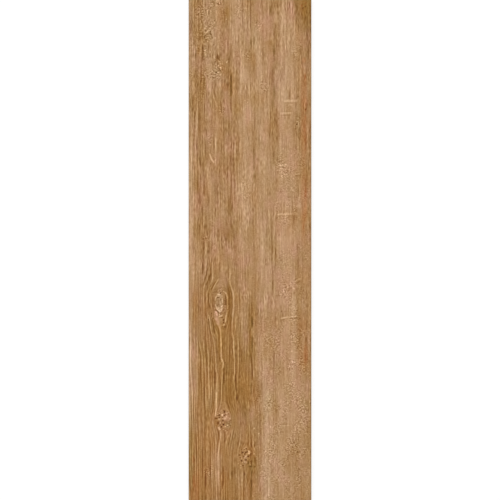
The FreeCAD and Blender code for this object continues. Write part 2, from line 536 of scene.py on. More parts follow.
# Stretches that lean to rose.
ROSE_STAVES = staves(
    Ink.ROSE, (6, 186, 194, 200, 276), (5, 186, 197.5, 330, 405), (3, 192, 197.5, 110, 170),
    (5, 192, 197.5, 240, 290), (4, 305, 312, 72, 104), (5, 305, 312, 346, 374),
)

# Stretches that lean to rust.
RUST_STAVES = staves(
    Ink.RUST, (9, 186, 199, 470, 520), (4, 192, 230, 408, 500), (5, 193, 207, 294, 328),
    (4, 248, 256, 446, 520), (5, 292, 314, -20, 22), (5, 297, 306, 318, 376), (8, 300, 306, -20, 25),
    (7, 300.5, 305.5, 70, 130), (9, 300.5, 305.5, 122, 152), (6, 301, 306, 150, 246),
    (5, 301, 305.5, 190, 235),
)

# Stretches that are greyed.
GREY_STAVES = staves(
    Ink.GREY, (10, 186, 191.5, -20, 520), (6, 263, 273, 385, 520), (9, 273, 286, 68, 102),
    (7, 301, 310, 378, 420),
)

# The dark corner at the top right.
OLIVE_STAVES = staves(Ink.OLIVE, (13, 294, 303, -30, 20), (20, 302, 314, -30, 26))

# Bands whose edges are sharper or softer than the others'.
OWN_SOFT_STAVES = [
    Stave(Ink.AMBER, 5, (206, 256), (440, 520), soft_across=6),
    Stave(Ink.GOLD, 12, (192, 201), (-20, 8), soft_along=3),
    Stave(Ink.PALE, 13, (253.5, 257), (26, 50), soft_along=8),
    Stave(Ink.GOLD, 13, (216.5, 223), (327, 352), soft_along=5),
    Stave(Ink.PALE, 6, (180, 320), (-20, 1), soft_along=1.5),
    Stave(Ink.GOLD, 8, (249, 258), (380, 520), soft_across=6),
    Stave(Ink.PALE, 11, (262, 271), (380, 520), soft_across=6),
]

# The pale threads that part round the main knot.
RIGHT_OF_KNOT = (
    (229.7, 268), (230.2, 273), (229.2, 279), (230, 284), (231.2, 287.4), (232.6, 291.4), (233.3, 296),
    (233.5, 306), (233, 311), (232.5, 316), (232.1, 322), (232.1, 331.6), (233.3, 340), (234.1, 356.7),
    (234.4, 373.3), (233.6, 377.2), (234.1, 384.4), (234.9, 390.6), (235.2, 399.4), (236.6, 413),
)
LEFT_OF_KNOT = (
    (208, 314), (209.4, 317.7), (210.2, 323.8), (211.3, 330), (212.4, 335), (213.6, 343.3),
    (214.4, 351), (215.2, 361), (215.8, 370), (216.8, 374), (216.6, 396.7), (216.2, 405),
    (215.7, 410.5), (215, 417),
)

# Threads and seams that run round the knots and on below them.
KNOT_THREADS = [
    Stroke(Ink.PALE, 30, RIGHT_OF_KNOT, 1.1),
    Stroke(Ink.PALE, 31, LEFT_OF_KNOT, 0.95),
    Stroke(Ink.GOLD, 26, ((210.6, 262), (210.4, 274), (208.6, 279.4), (205.4, 285.6)), 1.1, 3.0),
    Stroke(Ink.GOLD, 24, ((208, 266), (206.6, 274), (204.6, 280), (203, 287)), 1.0, 3.0),
    Stroke(Ink.GOLD, 26, ((216.2, 280.6), (213, 286), (210.8, 290)), 1.0, 1.0),
    Stroke(Ink.GOLD, 12, ((202.8, 262), (202.4, 275)), 1.1, 2.0),
    Stroke(Ink.GOLD, 20, ((204.6, 291), (204.8, 300), (205.2, 312), (206.6, 320)), 0.9, 3.0),
    Stroke(Ink.GOLD, 22, ((208.4, 292), (208.4, 302), (209.6, 309)), 0.9, 2.0),
    Stroke(Ink.GOLD, 26, ((212, 319), (213.4, 326), (214.8, 334)), 1.1, 2.0),
    Stroke(Ink.GOLD, 24, ((218.4, 431), (218.2, 439), (217.4, 446)), 0.9, 2.0),
    Stroke(Ink.GOLD, 22, ((224.4, 432), (224.8, 438), (224, 443)), 0.9, 2.0),
    Stroke(Ink.ROSE, 28, ((219.4, 326), (220.2, 330), (220.8, 338), (221, 356.7), (221.9, 361)), 1.1),
    Stroke(
        Ink.PALE, 22, ((221.9, 367.8), (221.9, 377.8), (221.3, 385.6), (221.6, 401), (223.2, 407)), 0.85,
    ),
    Stroke(
        Ink.PALE, 34, ((221, 358.6), (222.8, 361.4), (223.2, 364.4), (222.8, 367), (221.8, 369)), 1.0, 1.0,
    ),
    *dots(Ink.PALE, 34, 0.9, (221.6, 362)),
    *dots(Ink.DARK, 28, 0.9, (220.6, 364.8), (224.9, 362.6), (224.7, 366.8), (219.6, 358.4)),
    Stroke(Ink.PALE, 20, ((237.4, 328), (237.2, 337.8), (238.3, 344.4), (238.6, 353), (238.3, 372)), 0.8),
    Stroke(Ink.PALE, 28, ((199.7, 341), (200.5, 349), (201.8, 357), (202.6, 365.6), (202.5, 393)), 0.8),
    Stroke(Ink.PALE, 30, ((203, 339), (203.6, 348), (204.1, 352)), 0.8),
    Stroke(
        Ink.PALE, 31, ((205.2, 356.7), (204.9, 363), (205.5, 374.4), (205.2, 385.6), (205.8, 411)), 0.8,
    ),
    Stroke(
        Ink.PALE, 28, ((206.9, 348.3), (208.3, 354.4), (208.6, 377.8), (209.4, 391.7), (209.1, 400)), 0.8,
    ),
    Stroke(Ink.PALE, 18, ((241.9, 365.6), (243, 374), (243.8, 379)), 0.8),
    Stroke(Ink.PALE, 30, ((218.9, 278), (217, 281.4), (215, 284.6), (213.6, 287.2), (212, 290.2)), 0.9),
    Stroke(Ink.PALE, 26, ((212.4, 262), (212.4, 278), (211.8, 281), (210.3, 284.5), (209, 287.4)), 0.9),
    Stroke(Ink.PALE, 24, ((209, 287.4), (207.7, 290.6), (206.8, 295), (207, 304)), 0.9),
    Stroke(Ink.PALE, 16, ((206.3, 278), (204.7, 281.6), (203.3, 289.3), (203.3, 310)), 0.8),
    Stroke(Ink.PALE, 20, ((212, 290.2), (210.4, 294.5), (209.9, 301), (211.2, 306.4), (212.4, 309)), 0.8),
    Stroke(Ink.PALE, 30, ((220.8, 429.6), (220.2, 438), (219.4, 445), (218.3, 451.8), (217.4, 461)), 1.0),
    Stroke(Ink.PALE, 27, ((226.3, 431.8), (227.7, 435.7), (226.3, 441.8), (225.5, 447.3)), 0.9),
    Stroke(Ink.PALE, 20, ((206.6, 445), (206.6, 456), (206.9, 464), (207.4, 468)), 0.8),
    Stroke(Ink.GOLD, 18, ((210.4, 332), (213, 344), (214, 352), (214.6, 366), (214.6, 390)), 0.9),
    Stroke(Ink.GOLD, 22, ((218.4, 326), (219.2, 345), (219.4, 361)), 1.1),
    Stroke(Ink.GOLD, 20, ((222.6, 338), (222.8, 359)), 0.9),
    Stroke(Ink.GOLD, 28, ((223.8, 369), (223.6, 385)), 1.2),
    Stroke(Ink.GOLD, 20, ((231.8, 334), (232.5, 357)), 0.9),
    Stroke(Ink.GOLD, 20, ((235.6, 362), (235.8, 372), (235.6, 380), (236.4, 391)), 0.9),
    Stroke(Ink.GOLD, 34, ((237, 392.4), (237.2, 401.4)), 1.3, 2.0),
    Stroke(Ink.GOLD, 11, ((228.9, 287), (229.6, 303), (228.6, 318)), 1.3),
    Stroke(Ink.GOLD, 16, ((212.6, 294), (212.6, 305), (213.8, 311)), 1.0),
]

# The main knot: a pale heart, a broken pale rim that closes to a point below, and dark spots between.
KNOT_MARKS = [
    Patch((219.2, 303.5), (4.2, 12.0), ink=Ink.PALE, amount=22),
    Patch((219.2, 302), (4.0, 9.0), ink=Ink.MOSS, amount=7),
    Patch((219.2, 303), (4.2, 11.0), ink=Ink.AMBER, amount=12),
    Patch((215.8, 315.6), (2.8, 5.0), ink=Ink.ROSE, amount=14),
    Patch((217.4, 321.4), (2.4, 4.0), ink=Ink.ROSE, amount=10),
    Patch((229.2, 304), (3.2, 23.0), ink=Ink.GOLD, amount=16),
    Patch((206, 272), (4.0, 10.0), ink=Ink.GOLD, amount=3),
    Patch((215, 326), (3.0, 9.0), ink=Ink.GOLD, amount=8),
    Stroke(
        Ink.PALE, 34, ((223, 291), (225.4, 292.5), (226.6, 294.4), (227.1, 297), (227.1, 300)), 1.0, 1.0,
    ),
    Stroke(Ink.PALE, 32, ((227.5, 299), (227.2, 304), (227.5, 309.6)), 0.8, 1.0),
    Stroke(
        Ink.PALE, 38, ((227, 310.6), (226.6, 313.6), (225.9, 316), (225.5, 319.6), (225.1, 322.6)), 0.9, 1.0,
    ),
    Stroke(Ink.PALE, 60, ((224.4, 324.2), (223.4, 325.4)), 1.1, 0.3),
    Stroke(Ink.PALE, 32, ((219.8, 289.6), (222.6, 289.5)), 0.8, 0.5),
    Stroke(Ink.PALE, 46, ((217.2, 294.5), (220.6, 294.5)), 0.9, 0.5),
    Stroke(Ink.PALE, 38, ((216.8, 296), (215.4, 297.6), (215, 301.2)), 0.9, 0.8),
    Stroke(
        Ink.PALE, 42, ((215.2, 304), (215.9, 306.4), (217, 309), (218.8, 310.8), (220.2, 312)), 0.9, 0.8,
    ),
    Stroke(Ink.PALE, 24, ((217.4, 307), (218.6, 309), (220, 310.2), (221, 308.4)), 0.8, 0.8),
    Stroke(Ink.DARK, 20, ((218, 311.4), (219.8, 313.6), (222, 311.6), (223.2, 309)), 0.8, 0.8),
    Stroke(Ink.PALE, 40, ((222.2, 298), (222.4, 303.6)), 0.9, 1.0),
    Stroke(Ink.PALE, 56, ((222.6, 305.2), (221.2, 306.9)), 1.0, 0.4),
    Stroke(Ink.PALE, 28, ((221.8, 307.6), (221.4, 310), (220.4, 312.4)), 1.0, 0.8),
    Stroke(Ink.DARK, 58, ((216.6, 297.5), (219.6, 297.5)), 0.9, 0.5),
    Stroke(Ink.DARK, 44, ((215.2, 309), (216.6, 310.8), (218.2, 312.6), (219, 313.8)), 0.7, 0.6),
    Stroke(Ink.DARK, 22, ((225.2, 294.6), (225.6, 299), (225.4, 305)), 1.0, 2.0),
    Stroke(Ink.ROSE, 44, ((215.4, 311.2), (216.1, 313), (217, 315.4)), 1.1, 0.5),
    Stroke(Ink.DARK, 34, ((217.8, 313.6), (218.6, 316)), 0.7, 0.5),
    Stroke(Ink.PALE, 44, ((218.6, 316.7), (220.6, 316.1), (222.6, 315)), 0.8, 0.5),
    Stroke(Ink.DARK, 36, ((220.4, 317.5), (223.2, 317.4)), 0.8, 0.5),
    Stroke(Ink.DARK, 56, ((223.4, 319), (223.4, 320.8)), 1.3, 0.3),
    Stroke(Ink.ROSE, 14, ((215, 318), (217.4, 322), (219.2, 326), (219.9, 331)), 2.2, 1.5),
    *uprights(Ink.PALE, 16, 0.8, (216.8, 299, 303), (220.2, 300, 305)),
    *uprights(Ink.DARK, 18, 0.8, (218.2, 299, 304.6)),
    *dots(Ink.PALE, 40, 0.8, (218.6, 290.2), (219.4, 314.6), (222, 295.8)),
    *dots(Ink.DARK, 62, 1.1, (220.3, 293.4)),
    *dots(Ink.DARK, 48, 1.0, (223.5, 322.4), (212.9, 318.5)),
    *dots(Ink.DARK, 30, 0.8, (220.3, 299.5), (216.8, 305.4), (218.6, 304.5), (219.6, 306.4), (217.6, 308)),
    *dots(Ink.DARK, 36, 0.9, (219.9, 308.2), (220.5, 314.7), (211.3, 313.5), (211.4, 316), (208.3, 319.6)),
    *dots(Ink.DARK, 34, 1.0, (222.3, 326.6), (224.8, 327), (219.5, 287.6)),
]

# The two lesser knots: a rosy one with dark dots and a small torn one.
SMALL_KNOT_MARKS = [
    Patch((226.6, 416.6), (4.8, 5.4), ink=Ink.ROSE, amount=11),
    Patch((228, 424.6), (3.2, 4.0), ink=Ink.MOSS, amount=9),
    Patch((216.2, 422.6), (2.6, 5.0), ink=Ink.GOLD, amount=14),
    Stroke(Ink.GOLD, 46, ((214.6, 418.4), (217.6, 418.4)), 1.2, 0.6),
    Stroke(Ink.GOLD, 30, ((217.9, 421.4), (217.9, 424.6)), 1.2, 0.6),
    Stroke(Ink.PALE, 27, ((216.4, 392), (216.3, 404), (216, 409), (215.8, 413), (214.8, 416.4)), 1.7, 1.0),
    Patch((223.5, 410), (7.0, 9.0), ink=Ink.PALE, amount=8),
    Stroke(Ink.PALE, 34, ((218.2, 419), (220.2, 419.6)), 1.4, 0.6),
    Stroke(Ink.PALE, 36, ((220.2, 421.6), (220.2, 424)), 1.1, 0.6),
    Stroke(Ink.PALE, 50, ((218.2, 427), (219.2, 428.8), (220.4, 430)), 1.2, 0.6),
    Stroke(Ink.PALE, 76, ((222, 413.8), (222, 416)), 1.3, 0.4),
    Stroke(Ink.PALE, 26, ((223.4, 419), (226, 418.2)), 1.2, 0.5),
    Stroke(Ink.PALE, 34, ((222.4, 422.6), (223.8, 422)), 1.1, 0.5),
    Stroke(Ink.DARK, 76, ((222, 420.5), (223.4, 420.5)), 1.2, 0.3),
    Stroke(Ink.DARK, 66, ((223.4, 412), (225, 412.4)), 1.6, 0.4),
    Stroke(Ink.DARK, 40, ((222.8, 410.4), (225.4, 411)), 1.3, 0.6),
    Stroke(Ink.DARK, 40, ((218.4, 414.6), (219.4, 416)), 1.3, 0.4),
    *dots(Ink.PALE, 54, 1.1, (217.3, 414.5), (225.3, 426.5), (227.4, 425.4)),
    *dots(Ink.PALE, 36, 1.1, (226.6, 413.5), (226.3, 416.4), (225.4, 430.6), (223.4, 429.4), (231, 424.5)),
    *dots(Ink.PALE, 30, 1.1, (228.2, 412.6), (229.6, 418.6), (219.3, 413.6)),
    *dots(Ink.DARK, 96, 1.2, (222.3, 417.5)),
    *dots(Ink.DARK, 70, 1.3, (219.2, 417.5), (223.2, 424.6)),
    *dots(Ink.DARK, 58, 1.3, (224.2, 415.4), (220.2, 424.8), (221.3, 427)),
    *dots(Ink.DARK, 34, 1.2, (227, 426.7), (227.2, 430.4), (230.4, 420.6), (230.3, 425), (225.2, 414.4)),
    Patch((251.4, 464), (4.6, 9), ink=Ink.OLIVE, amount=9),
    Patch((245.4, 457.2), (2.2, 2.6), ink=Ink.PALE, amount=20),
    Patch((245, 462.2), (2.4, 2.2), ink=Ink.PALE, amount=18),
    Stroke(Ink.PALE, 62, ((248.2, 450.6), (248.9, 452.4), (248.8, 454.4)), 1.4, 0.4),
    Stroke(Ink.PALE, 50, ((246, 453.7), (248, 453.7)), 1.0, 0.4),
    Stroke(Ink.PALE, 24, ((247, 455.4), (245.4, 456.8), (244.2, 458)), 1.3, 0.6),
    *uprights(Ink.PALE, 26, 1.2, (247.3, 457, 461.6)),
    Stroke(Ink.PALE, 28, ((243.6, 461), (245.6, 462), (246.6, 463.4)), 1.3, 0.6),
    Stroke(Ink.DARK, 58, ((244.4, 452.4), (246.4, 452.3)), 1.1, 0.4),
    Stroke(Ink.DARK, 84, ((245.6, 459.2), (245.6, 460.6)), 1.5, 0.4),
    Stroke(Ink.DARK, 90, ((240.8, 460.9), (242.2, 460.5)), 1.4, 0.4),
    *uprights(Ink.DARK, 36, 1.4, (241.9, 451.6, 456)),
    *dots(Ink.PALE, 44, 1.1, (248.7, 458.5), (254, 454), (258.5, 433.8), (254.2, 428.4)),
    *dots(Ink.PALE, 30, 1.0, (240.4, 465.4), (240.4, 467.6), (250.2, 464.6), (238, 463.4)),
    *dots(Ink.DARK, 96, 1.2, (246.1, 448.6)),
    *dots(Ink.DARK, 62, 1.2, (247, 451.4), (248, 456.6), (244.6, 454.3)),
    *dots(Ink.DARK, 38, 1.3, (250.1, 455.6), (251, 453.8)),
    *dots(Ink.DARK, 56, 1.2, (244.1, 449.4), (239.1, 455), (242.7, 452.6)),
    *dots(Ink.DARK, 38, 1.2, (240, 457.4), (243, 456.4), (243, 465.4), (241.6, 449.6)),
    *uprights(Ink.GOLD, 34, 1.3, (251.1, 459, 465.6), (254.7, 456, 464)),
    *uprights(Ink.GOLD, 28, 1.2, (251.2, 442, 448.6), (254.2, 443.6, 448)),
    *uprights(Ink.OLIVE, 30, 1.2, (248.2, 461.2, 464.6)),
    Stroke(Ink.OLIVE, 24, ((248, 466.4), (252.2, 466.4)), 1.0, 0.5),
    Stroke(Ink.OLIVE, 24, ((253.4, 466.6), (255.6, 466.6)), 1.0, 0.5),
]

# Dark seams along the grain, and a painted shade line down the right edge.
SEAMS = [
    *uprights(Ink.OLIVE, 34, 1.3, (231, 73, 96.5)),
    *uprights(Ink.OLIVE, 34, 1.5, (252, 316, 329)),
    *uprights(Ink.OLIVE, 26, 1.2, (252, 335, 352)),
    *strokes(Ink.DARK, 0.8, (24, (251.2, 300), (252.3, 314)), (22, (213.6, 89), (214.6, 94), (216, 98))),
    *strokes(
        Ink.GOLD, 1, (32, (251, 351), (251.2, 361), (252, 369), (252.3, 381)),
        (26, (253.6, 386), (253.6, 397)),
    ),
    *strokes(Ink.OLIVE, 1.6, (18, (251.6, 464), (251, 483), (250.8, 500))),
    *uprights(Ink.DARK, 30, 0.9, (230.7, 97, 113), (251.3, 434, 449), (202.7, 43, 62)),
    *uprights(Ink.GOLD, 18, 1.4, (198.8, 111, 133)),
    *uprights(
        Ink.DARK, 18, 0.8, (193.4, 139, 149), (196.4, 140, 153), (202, 135, 147), (200.4, 157, 169),
        (193, 108, 113), (195, 109, 120), (204.2, 104, 112), (202, 149, 156), (230.5, 155, 162),
        (211.6, 169, 179), (235, 171, 177), (233.6, 219, 225), (261, -3, 9), (281, -3, 4),
        (260.5, 118, 125), (252.7, 131, 137),
    ),
    *uprights(
        Ink.DARK, 20, 0.8, (198.5, 195, 205), (200.6, 195, 204), (201.6, 206, 213), (196.6, 204, 214),
        (213.9, 138, 150), (224.4, 148, 159), (231.3, 138, 150), (233.6, 143, 153),
    ),
    *uprights(
        Ink.DARK, 28, 0.9, (223.6, -4, 7), (223.6, 9, 16), (250.4, -8, 29), (223.6, 164, 172),
        (204, 180, 197), (203.7, 238, 253), (231.4, 171, 196), (231.9, 202, 213), (275.1, 247, 259),
        (249.3, 256, 265), (274.4, 263, 273), (272.4, 280, 289),
    ),
    *uprights(
        Ink.DARK, 24, 0.9, (205.4, 140, 161), (199.7, 154, 166), (200.8, 174, 181), (198.8, 188, 205),
    ),
    *uprights(
        Ink.DARK, 20, 1.1, (234.7, 179, 202), (202.1, 203, 228), (199.4, 224, 234), (208.8, 194, 205),
    ),
    *uprights(
        Ink.DARK, 22, 0.9, (202.6, 264, 274), (199.7, 264, 270), (203.9, 336, 341), (205, 275, 280),
        (275.2, 23, 29), (277.7, 35, 42), (278, 41, 50), (276.6, 79, 90), (272.4, 469, 474),
        (289, 487, 493), (262.4, 29.6, 32.4),
    ),
    *uprights(
        Ink.GOLD, 26, 0.85, (203.8, 370, 406), (200.4, 351, 384), (207.1, 368, 401), (210.3, 346, 366),
    ),
    *uprights(
        Ink.GOLD, 21, 0.85, (198.9, 372, 408), (212.6, 356, 382), (212.8, 386, 408), (239.4, 340, 375),
    ),
    *uprights(Ink.GOLD, 24, 1, (202.4, 447, 478), (202.4, 490, 504), (205.6, 491, 504), (228, 470, 481)),
    *uprights(Ink.GOLD, 40, 1.2, (205.4, 469, 490)),
    *uprights(
        Ink.DARK, 18, 0.9, (201.3, 416, 437), (196.4, 412, 425), (215.6, 457, 471), (216.9, 446, 453),
    ),
    *uprights(Ink.GOLD, 28, 1.2, (223.3, 466, 486), (222, 480, 489), (232, 469, 480), (234.7, 466, 475)),
    *uprights(Ink.GOLD, 20, 1, (235.6, 485, 496), (225, 495, 504), (247.4, 474, 484), (244, 471, 476)),
    *uprights(
        Ink.DARK, 20, 0.9, (227.7, 40, 47), (230.8, 43, 57), (229.1, 55, 67), (245.8, 48, 54),
        (250.8, 52, 58), (253.6, 63, 73), (193.8, 37, 45), (199.8, 30, 40), (293.6, 214, 226),
        (275, 215, 223), (293, 237, 248), (266.3, 232, 238), (274.4, 337, 344), (273.5, 416, 423),
        (298, 469, 483), (260.5, 482, 494),
    ),
    *uprights(Ink.OLIVE, 22, 1.3, (250.8, 37, 49), (254, 36, 46), (270.2, 6, 16), (274, 45, 57)),
    *uprights(Ink.DARK, 18, 1.6, (217.4, 54, 61), (274.4, 28, 40), (274, 57, 62), (273, 67, 86)),
    *uprights(Ink.OLIVE, 18, 1.7, (274, 84, 100), (272.6, 98, 109), (253.8, 145, 172), (254.2, 171, 184)),
    *uprights(
        Ink.DARK, 22, 1.2, (275.2, 112, 126), (273.6, 148, 157), (276.6, 136, 141), (289.4, 87, 100),
    ),
    *uprights(Ink.DARK, 24, 0.8, (289.4, 1, 9), (296.6, 2, 14), (294.7, 10, 17), (301.3, 11, 20)),
    *uprights(
        Ink.DARK, 22, 0.8, (306.3, 9, 15), (304.8, 14, 21), (308, 48, 57), (300.5, 129, 136),
        (295.5, 143, 155), (299.4, 126, 131), (292.4, 200, 212), (298.5, 186, 197), (209, 9, 14),
        (221.4, 10, 15), (228, 103, 117), (204.7, 126, 131), (206.3, 129, 137), (218.6, 146, 154),
        (196.6, 139, 150), (215.5, 207, 218), (254.4, 203, 209), (252.5, 219, 225), (206.9, 229, 235),
        (214, 232, 238), (207, 284, 289), (207, 306, 312), (204.7, 296, 302), (205, 449, 455),
        (274.7, 2, 9), (277, 2, 9), (266.3, 30, 37), (283.3, 29, 35), (280.5, 35, 41), (285.2, 52, 57),
        (295.8, 18, 26), (298.5, 24, 33), (279.1, 132, 139.5), (273.5, 136, 142), (273.3, 151, 164),
        (276.9, 155, 164), (295.5, 102, 109), (254.7, 112, 130), (261, 160, 167), (296.9, 130, 136),
        (288.3, 178, 183), (274.7, 235, 241), (301.9, 200, 208), (285.8, 263, 268),
    ),
    *uprights(Ink.DARK, 18, 1, (253.8, 244, 253), (255.5, 320, 327), (274, 350, 364), (270.8, 359, 369)),
    *uprights(Ink.DARK, 22, 1, (274, 438, 445), (254.4, 441, 448), (273.8, 378, 383), (248.6, 393, 401)),
    *uprights(Ink.DARK, 16, 1, (226, 219, 228), (231, 217, 230), (234, 233, 241), (224.7, 208, 213)),
    *uprights(
        Ink.DARK, 15, 0.8, (246.3, 148, 162), (239.2, 195, 203), (254.7, 184, 198), (255.2, 97, 102),
    ),
    # Painted shade: a dark line down the right edge of the face, where the right bevel lies in shade.
    *uprights(Ink.DARK, 12, 0.9, (310.7, 6, 60), (310.7, 84, 180), (310.7, 184, 330), (310.7, 330, 500)),
    *uprights(Ink.GOLD, 22, 0.9, (201.3, 378, 401), (220.3, 382, 391), (224.4, 14, 24), (297, 243, 253)),
    *uprights(Ink.OLIVE, 22, 1, (199.4, 346, 355), (250.8, 383, 395), (241.7, 387, 393)),
    *strokes(Ink.DARK, 0.8, (22, (210, 225), (214, 226.4)), (22, (237.4, 17), (240.2, 19)), fade=0.5),
    *strokes(Ink.DARK, 0.9, (28, (220.6, 101), (220.9, 106), (221.8, 114)), fade=2),
    *strokes(Ink.DARK, 0.9, (18, (272, 294), (274, 299), (275.2, 304))),
    *strokes(Ink.DARK, 0.9, (22, (211.7, 281), (210, 287)), fade=1),
    *strokes(Ink.DARK, 0.8, (20, (214.4, 280), (212, 285)), fade=1),
]

# Pale threads along the grain.
THREADS = [
    *uprights(
        Ink.PALE, 20, 0.8, (200.9, 262, 269), (221.3, 474, 481), (204, 150, 159), (249, 79, 91),
        (241.9, 84, 91), (193.3, 192, 203), (205.8, 247, 256), (205.8, 259, 268), (219.1, 251, 264),
        (232.2, 251, 261), (232.6, 24, 37), (233.4, 49, 60), (226.4, 39, 54), (221.3, 131, 141),
    ),
    *uprights(Ink.PALE, 12, 0.8, (214.7, 135, 144), (215.8, 143, 153)),
    *uprights(
        Ink.PALE, 18, 0.9, (281.6, 26, 34), (281.3, 58, 68), (300.2, 54, 62), (284.4, 119, 124),
        (268, 234, 243), (265.2, 299, 312), (265.8, 311, 318), (298.5, 424, 432), (238.3, 297, 315),
        (241.3, 272, 280), (246.3, 263, 278), (240.1, 391, 404),
    ),
    *uprights(
        Ink.PALE, 20, 0.9, (289.7, 167, 172), (262.4, 179, 184), (271, 180, 189), (293.5, 204, 210),
        (241.9, 201, 209), (245.2, 209, 217), (238, 208, 217), (246.3, 224, 230),
    ),
    *uprights(
        Ink.PALE, 24, 0.9, (253.8, 372, 377), (253.3, 334.5, 337.5), (253, 342.5, 345.5),
        (252.7, 494.5, 497.5),
    ),
    *strokes(
        Ink.PALE, 0.9, (20, (208.5, 220), (212, 220.8), (215.2, 223)),
        (18, (290.8, 228.4), (295.2, 232.4)), fade=1,
    ),
    *strokes(Ink.PALE, 0.9, (22, (291, 362), (295, 362)), fade=0.5),
    *strokes(Ink.PALE, 0.8, (18, (288, 104.8), (292.4, 104.8)), (24, (205, 33.2), (208.6, 31)), fade=0.5),
    *uprights(
        Ink.PALE, 22, 0.8, (211.4, 383, 395), (250.2, 363, 370), (212.7, 430, 437), (210, 433, 441),
    ),
    *uprights(
        Ink.PALE, 18, 0.8, (212.4, 461, 474), (234.4, 437, 445), (236.4, 430, 436), (252.7, 438, 445),
        (229, 169, 199), (236.3, 180, 191), (237.4, 194, 203), (200.5, 203, 214),
    ),
    *uprights(
        Ink.PALE, 16, 0.8, (245.2, 83, 89), (239.4, 142, 153), (239.1, 158, 164), (250.2, 111, 120),
    ),
    *uprights(
        Ink.PALE, 16, 0.9, (284.7, 11, 23), (285.2, 23, 32), (281.3, 11, 17), (282.2, 51, 57),
        (261.2, 71, 82), (256.7, 79, 84), (292.4, 67, 76), (260.2, 98, 105), (263.6, 132, 144),
        (298, 138, 154), (286.3, 129, 137), (264.7, 218, 228), (261.6, 268, 285), (265.8, 266, 282),
        (262.7, 316, 331), (267.4, 224, 229),
    ),
    *uprights(
        Ink.PALE, 14, 1.3, (265.2, 492, 503), (268.6, 475, 498), (266.4, 388, 401), (268.6, 403, 410),
    ),
    *uprights(Ink.GREY, 9, 2.2, (285.4, 58, 84), (268, 389, 401), (266.6, 412, 430), (265, 436, 470)),
    *uprights(
        Ink.PALE, 14, 0.8, (193.3, 169, 182), (196.6, 360, 392), (236.4, 473, 478), (238.8, 484, 490),
    ),
    *strokes(Ink.ROSE, 1.2, (18, (205.2, 72), (206.6, 80), (207.3, 91))),
    *strokes(Ink.PALE, 0.9, (24, (212.2, 91), (213.6, 98), (216.3, 104), (217.4, 108))),
    *strokes(Ink.PALE, 1.1, (44, (209.5, 153.6), (211.2, 159), (214.2, 162.8)), fade=1),
    *strokes(Ink.PALE, 1, (18, (289, 283.4), (292.4, 287), (294, 289)), fade=1),
]

# Scars of the saw across the grain, most of them on the right half, with their shaded edges.
SCARS = [
    *strokes(
        Ink.PALE, 1.3, (28, (283.6, 101), (297.6, 100.6)),
        (27, (276.6, 214.4), (286, 213.8), (297, 213.6)), fade=1.5,
    ),
    *strokes(Ink.PALE, 1, (34, (280, 113.4), (291.6, 113.2)), fade=1.5),
    *strokes(Ink.DARK, 0.9, (22, (282, 114.8), (290.4, 114.6)), fade=1.5),
    *strokes(Ink.PALE, 1, (28, (277.6, 165.4), (288.4, 165.4)), fade=2),
    *strokes(
        Ink.DARK, 0.9, (22, (281, 166.8), (286.4, 166.8)), (26, (295, 175.6), (299.4, 175.6)),
        (12, (276, 295.6), (281.2, 295.4)), fade=1,
    ),
    *strokes(
        Ink.PALE, 0.9, (26, (294.4, 174.2), (300.2, 174.3)),
        (30, (279.6, 318.8), (283.6, 317.7), (288, 317.4), (292.4, 316.6), (298.4, 316)),
        (14, (287.4, 352.2), (292, 351.4), (298, 353)), fade=1,
    ),
    *strokes(
        Ink.DARK, 0.8, (20, (288.6, 318.8), (297.4, 317.8)), (14, (283.6, 311.4), (289, 311.3)),
        (16, (285.6, 197.6), (291, 197)), (20, (284.4, 200), (283.6, 207)),
        (18, (279.8, 194), (280.9, 188), (282, 194)), (12, (280, 424.2), (287, 424.2)), fade=1,
    ),
    *strokes(
        Ink.PALE, 0.8, (16, (292.4, 309.4), (299.4, 309.2)), (12, (241, 295.2), (249.6, 295)),
        (13, (280, 425.6), (291.4, 425.6)), (13, (288.6, 445.8), (294, 445.6)), fade=1,
    ),
    *strokes(
        Ink.DARK, 0.8, (26, (293.4, 281), (296.6, 278.8)),
        (26, (296.4, 283.6), (299.6, 280.8), (301.4, 280.4), (303.4, 282.4)),
        (20, (304, 432.4), (308, 432.4)), fade=0.5,
    ),
    *strokes(
        Ink.PALE, 0.8, (22, (293.8, 282.4), (297.6, 279.6), (299.4, 278.6), (303.6, 282.8)),
        (18, (303, 433.8), (308, 433.8)), fade=0.5,
    ),
]

# Torn grain at the top left.
TORN_GRAIN = [
    *strokes(Ink.PALE, 0.9, (40, (205.4, 32.8), (208.6, 30.2)), fade=0.5),
    *strokes(Ink.DARK, 0.9, (40, (209.4, 31), (211, 34), (212, 37)), fade=0.5),
    *uprights(Ink.DARK, 20, 1.7, (202.7, 44, 62), (201.6, 31.5, 38.5)),
    *uprights(Ink.DARK, 18, 1.3, (215.4, 22.6, 25.6), (215, 59.5, 64)),
    *uprights(Ink.PALE, 11, 1.2, (200.9, 44, 62)),
    *uprights(Ink.PALE, 30, 1.3, (205.3, 24, 28), (213.8, 53.5, 58.5)),
    *strokes(Ink.DARK, 2.2, (24, (217.6, 54.8), (218, 59.4)), fade=1),
    *strokes(Ink.DARK, 1.15, (42, (217.4, 70.4), (220.5, 70.4)), fade=0.6),
    *strokes(Ink.DARK, 1.2, (34, (209.2, 56.4), (210.7, 56.4)), fade=0.6),
    *strokes(Ink.DARK, 1.6, (18, (205.6, 57.6), (206.8, 57.6)), fade=0.6),
    *strokes(Ink.PALE, 1.1, (40, (209.2, 52.4), (210.7, 52.4)), fade=0.6),
    *patches(Ink.PALE, (11, 205.6, 47.6, 2.4, 4.5)),
    *patches(Ink.MOSS, (9, 215.5, 76, 6.5, 8), (6, 212, 35, 3.5, 6)),
    *patches(Ink.ROSE, (5, 222, 20, 5, 9)),
    *patches(Ink.RUST, (7, 224.5, 87, 4, 5)),
]

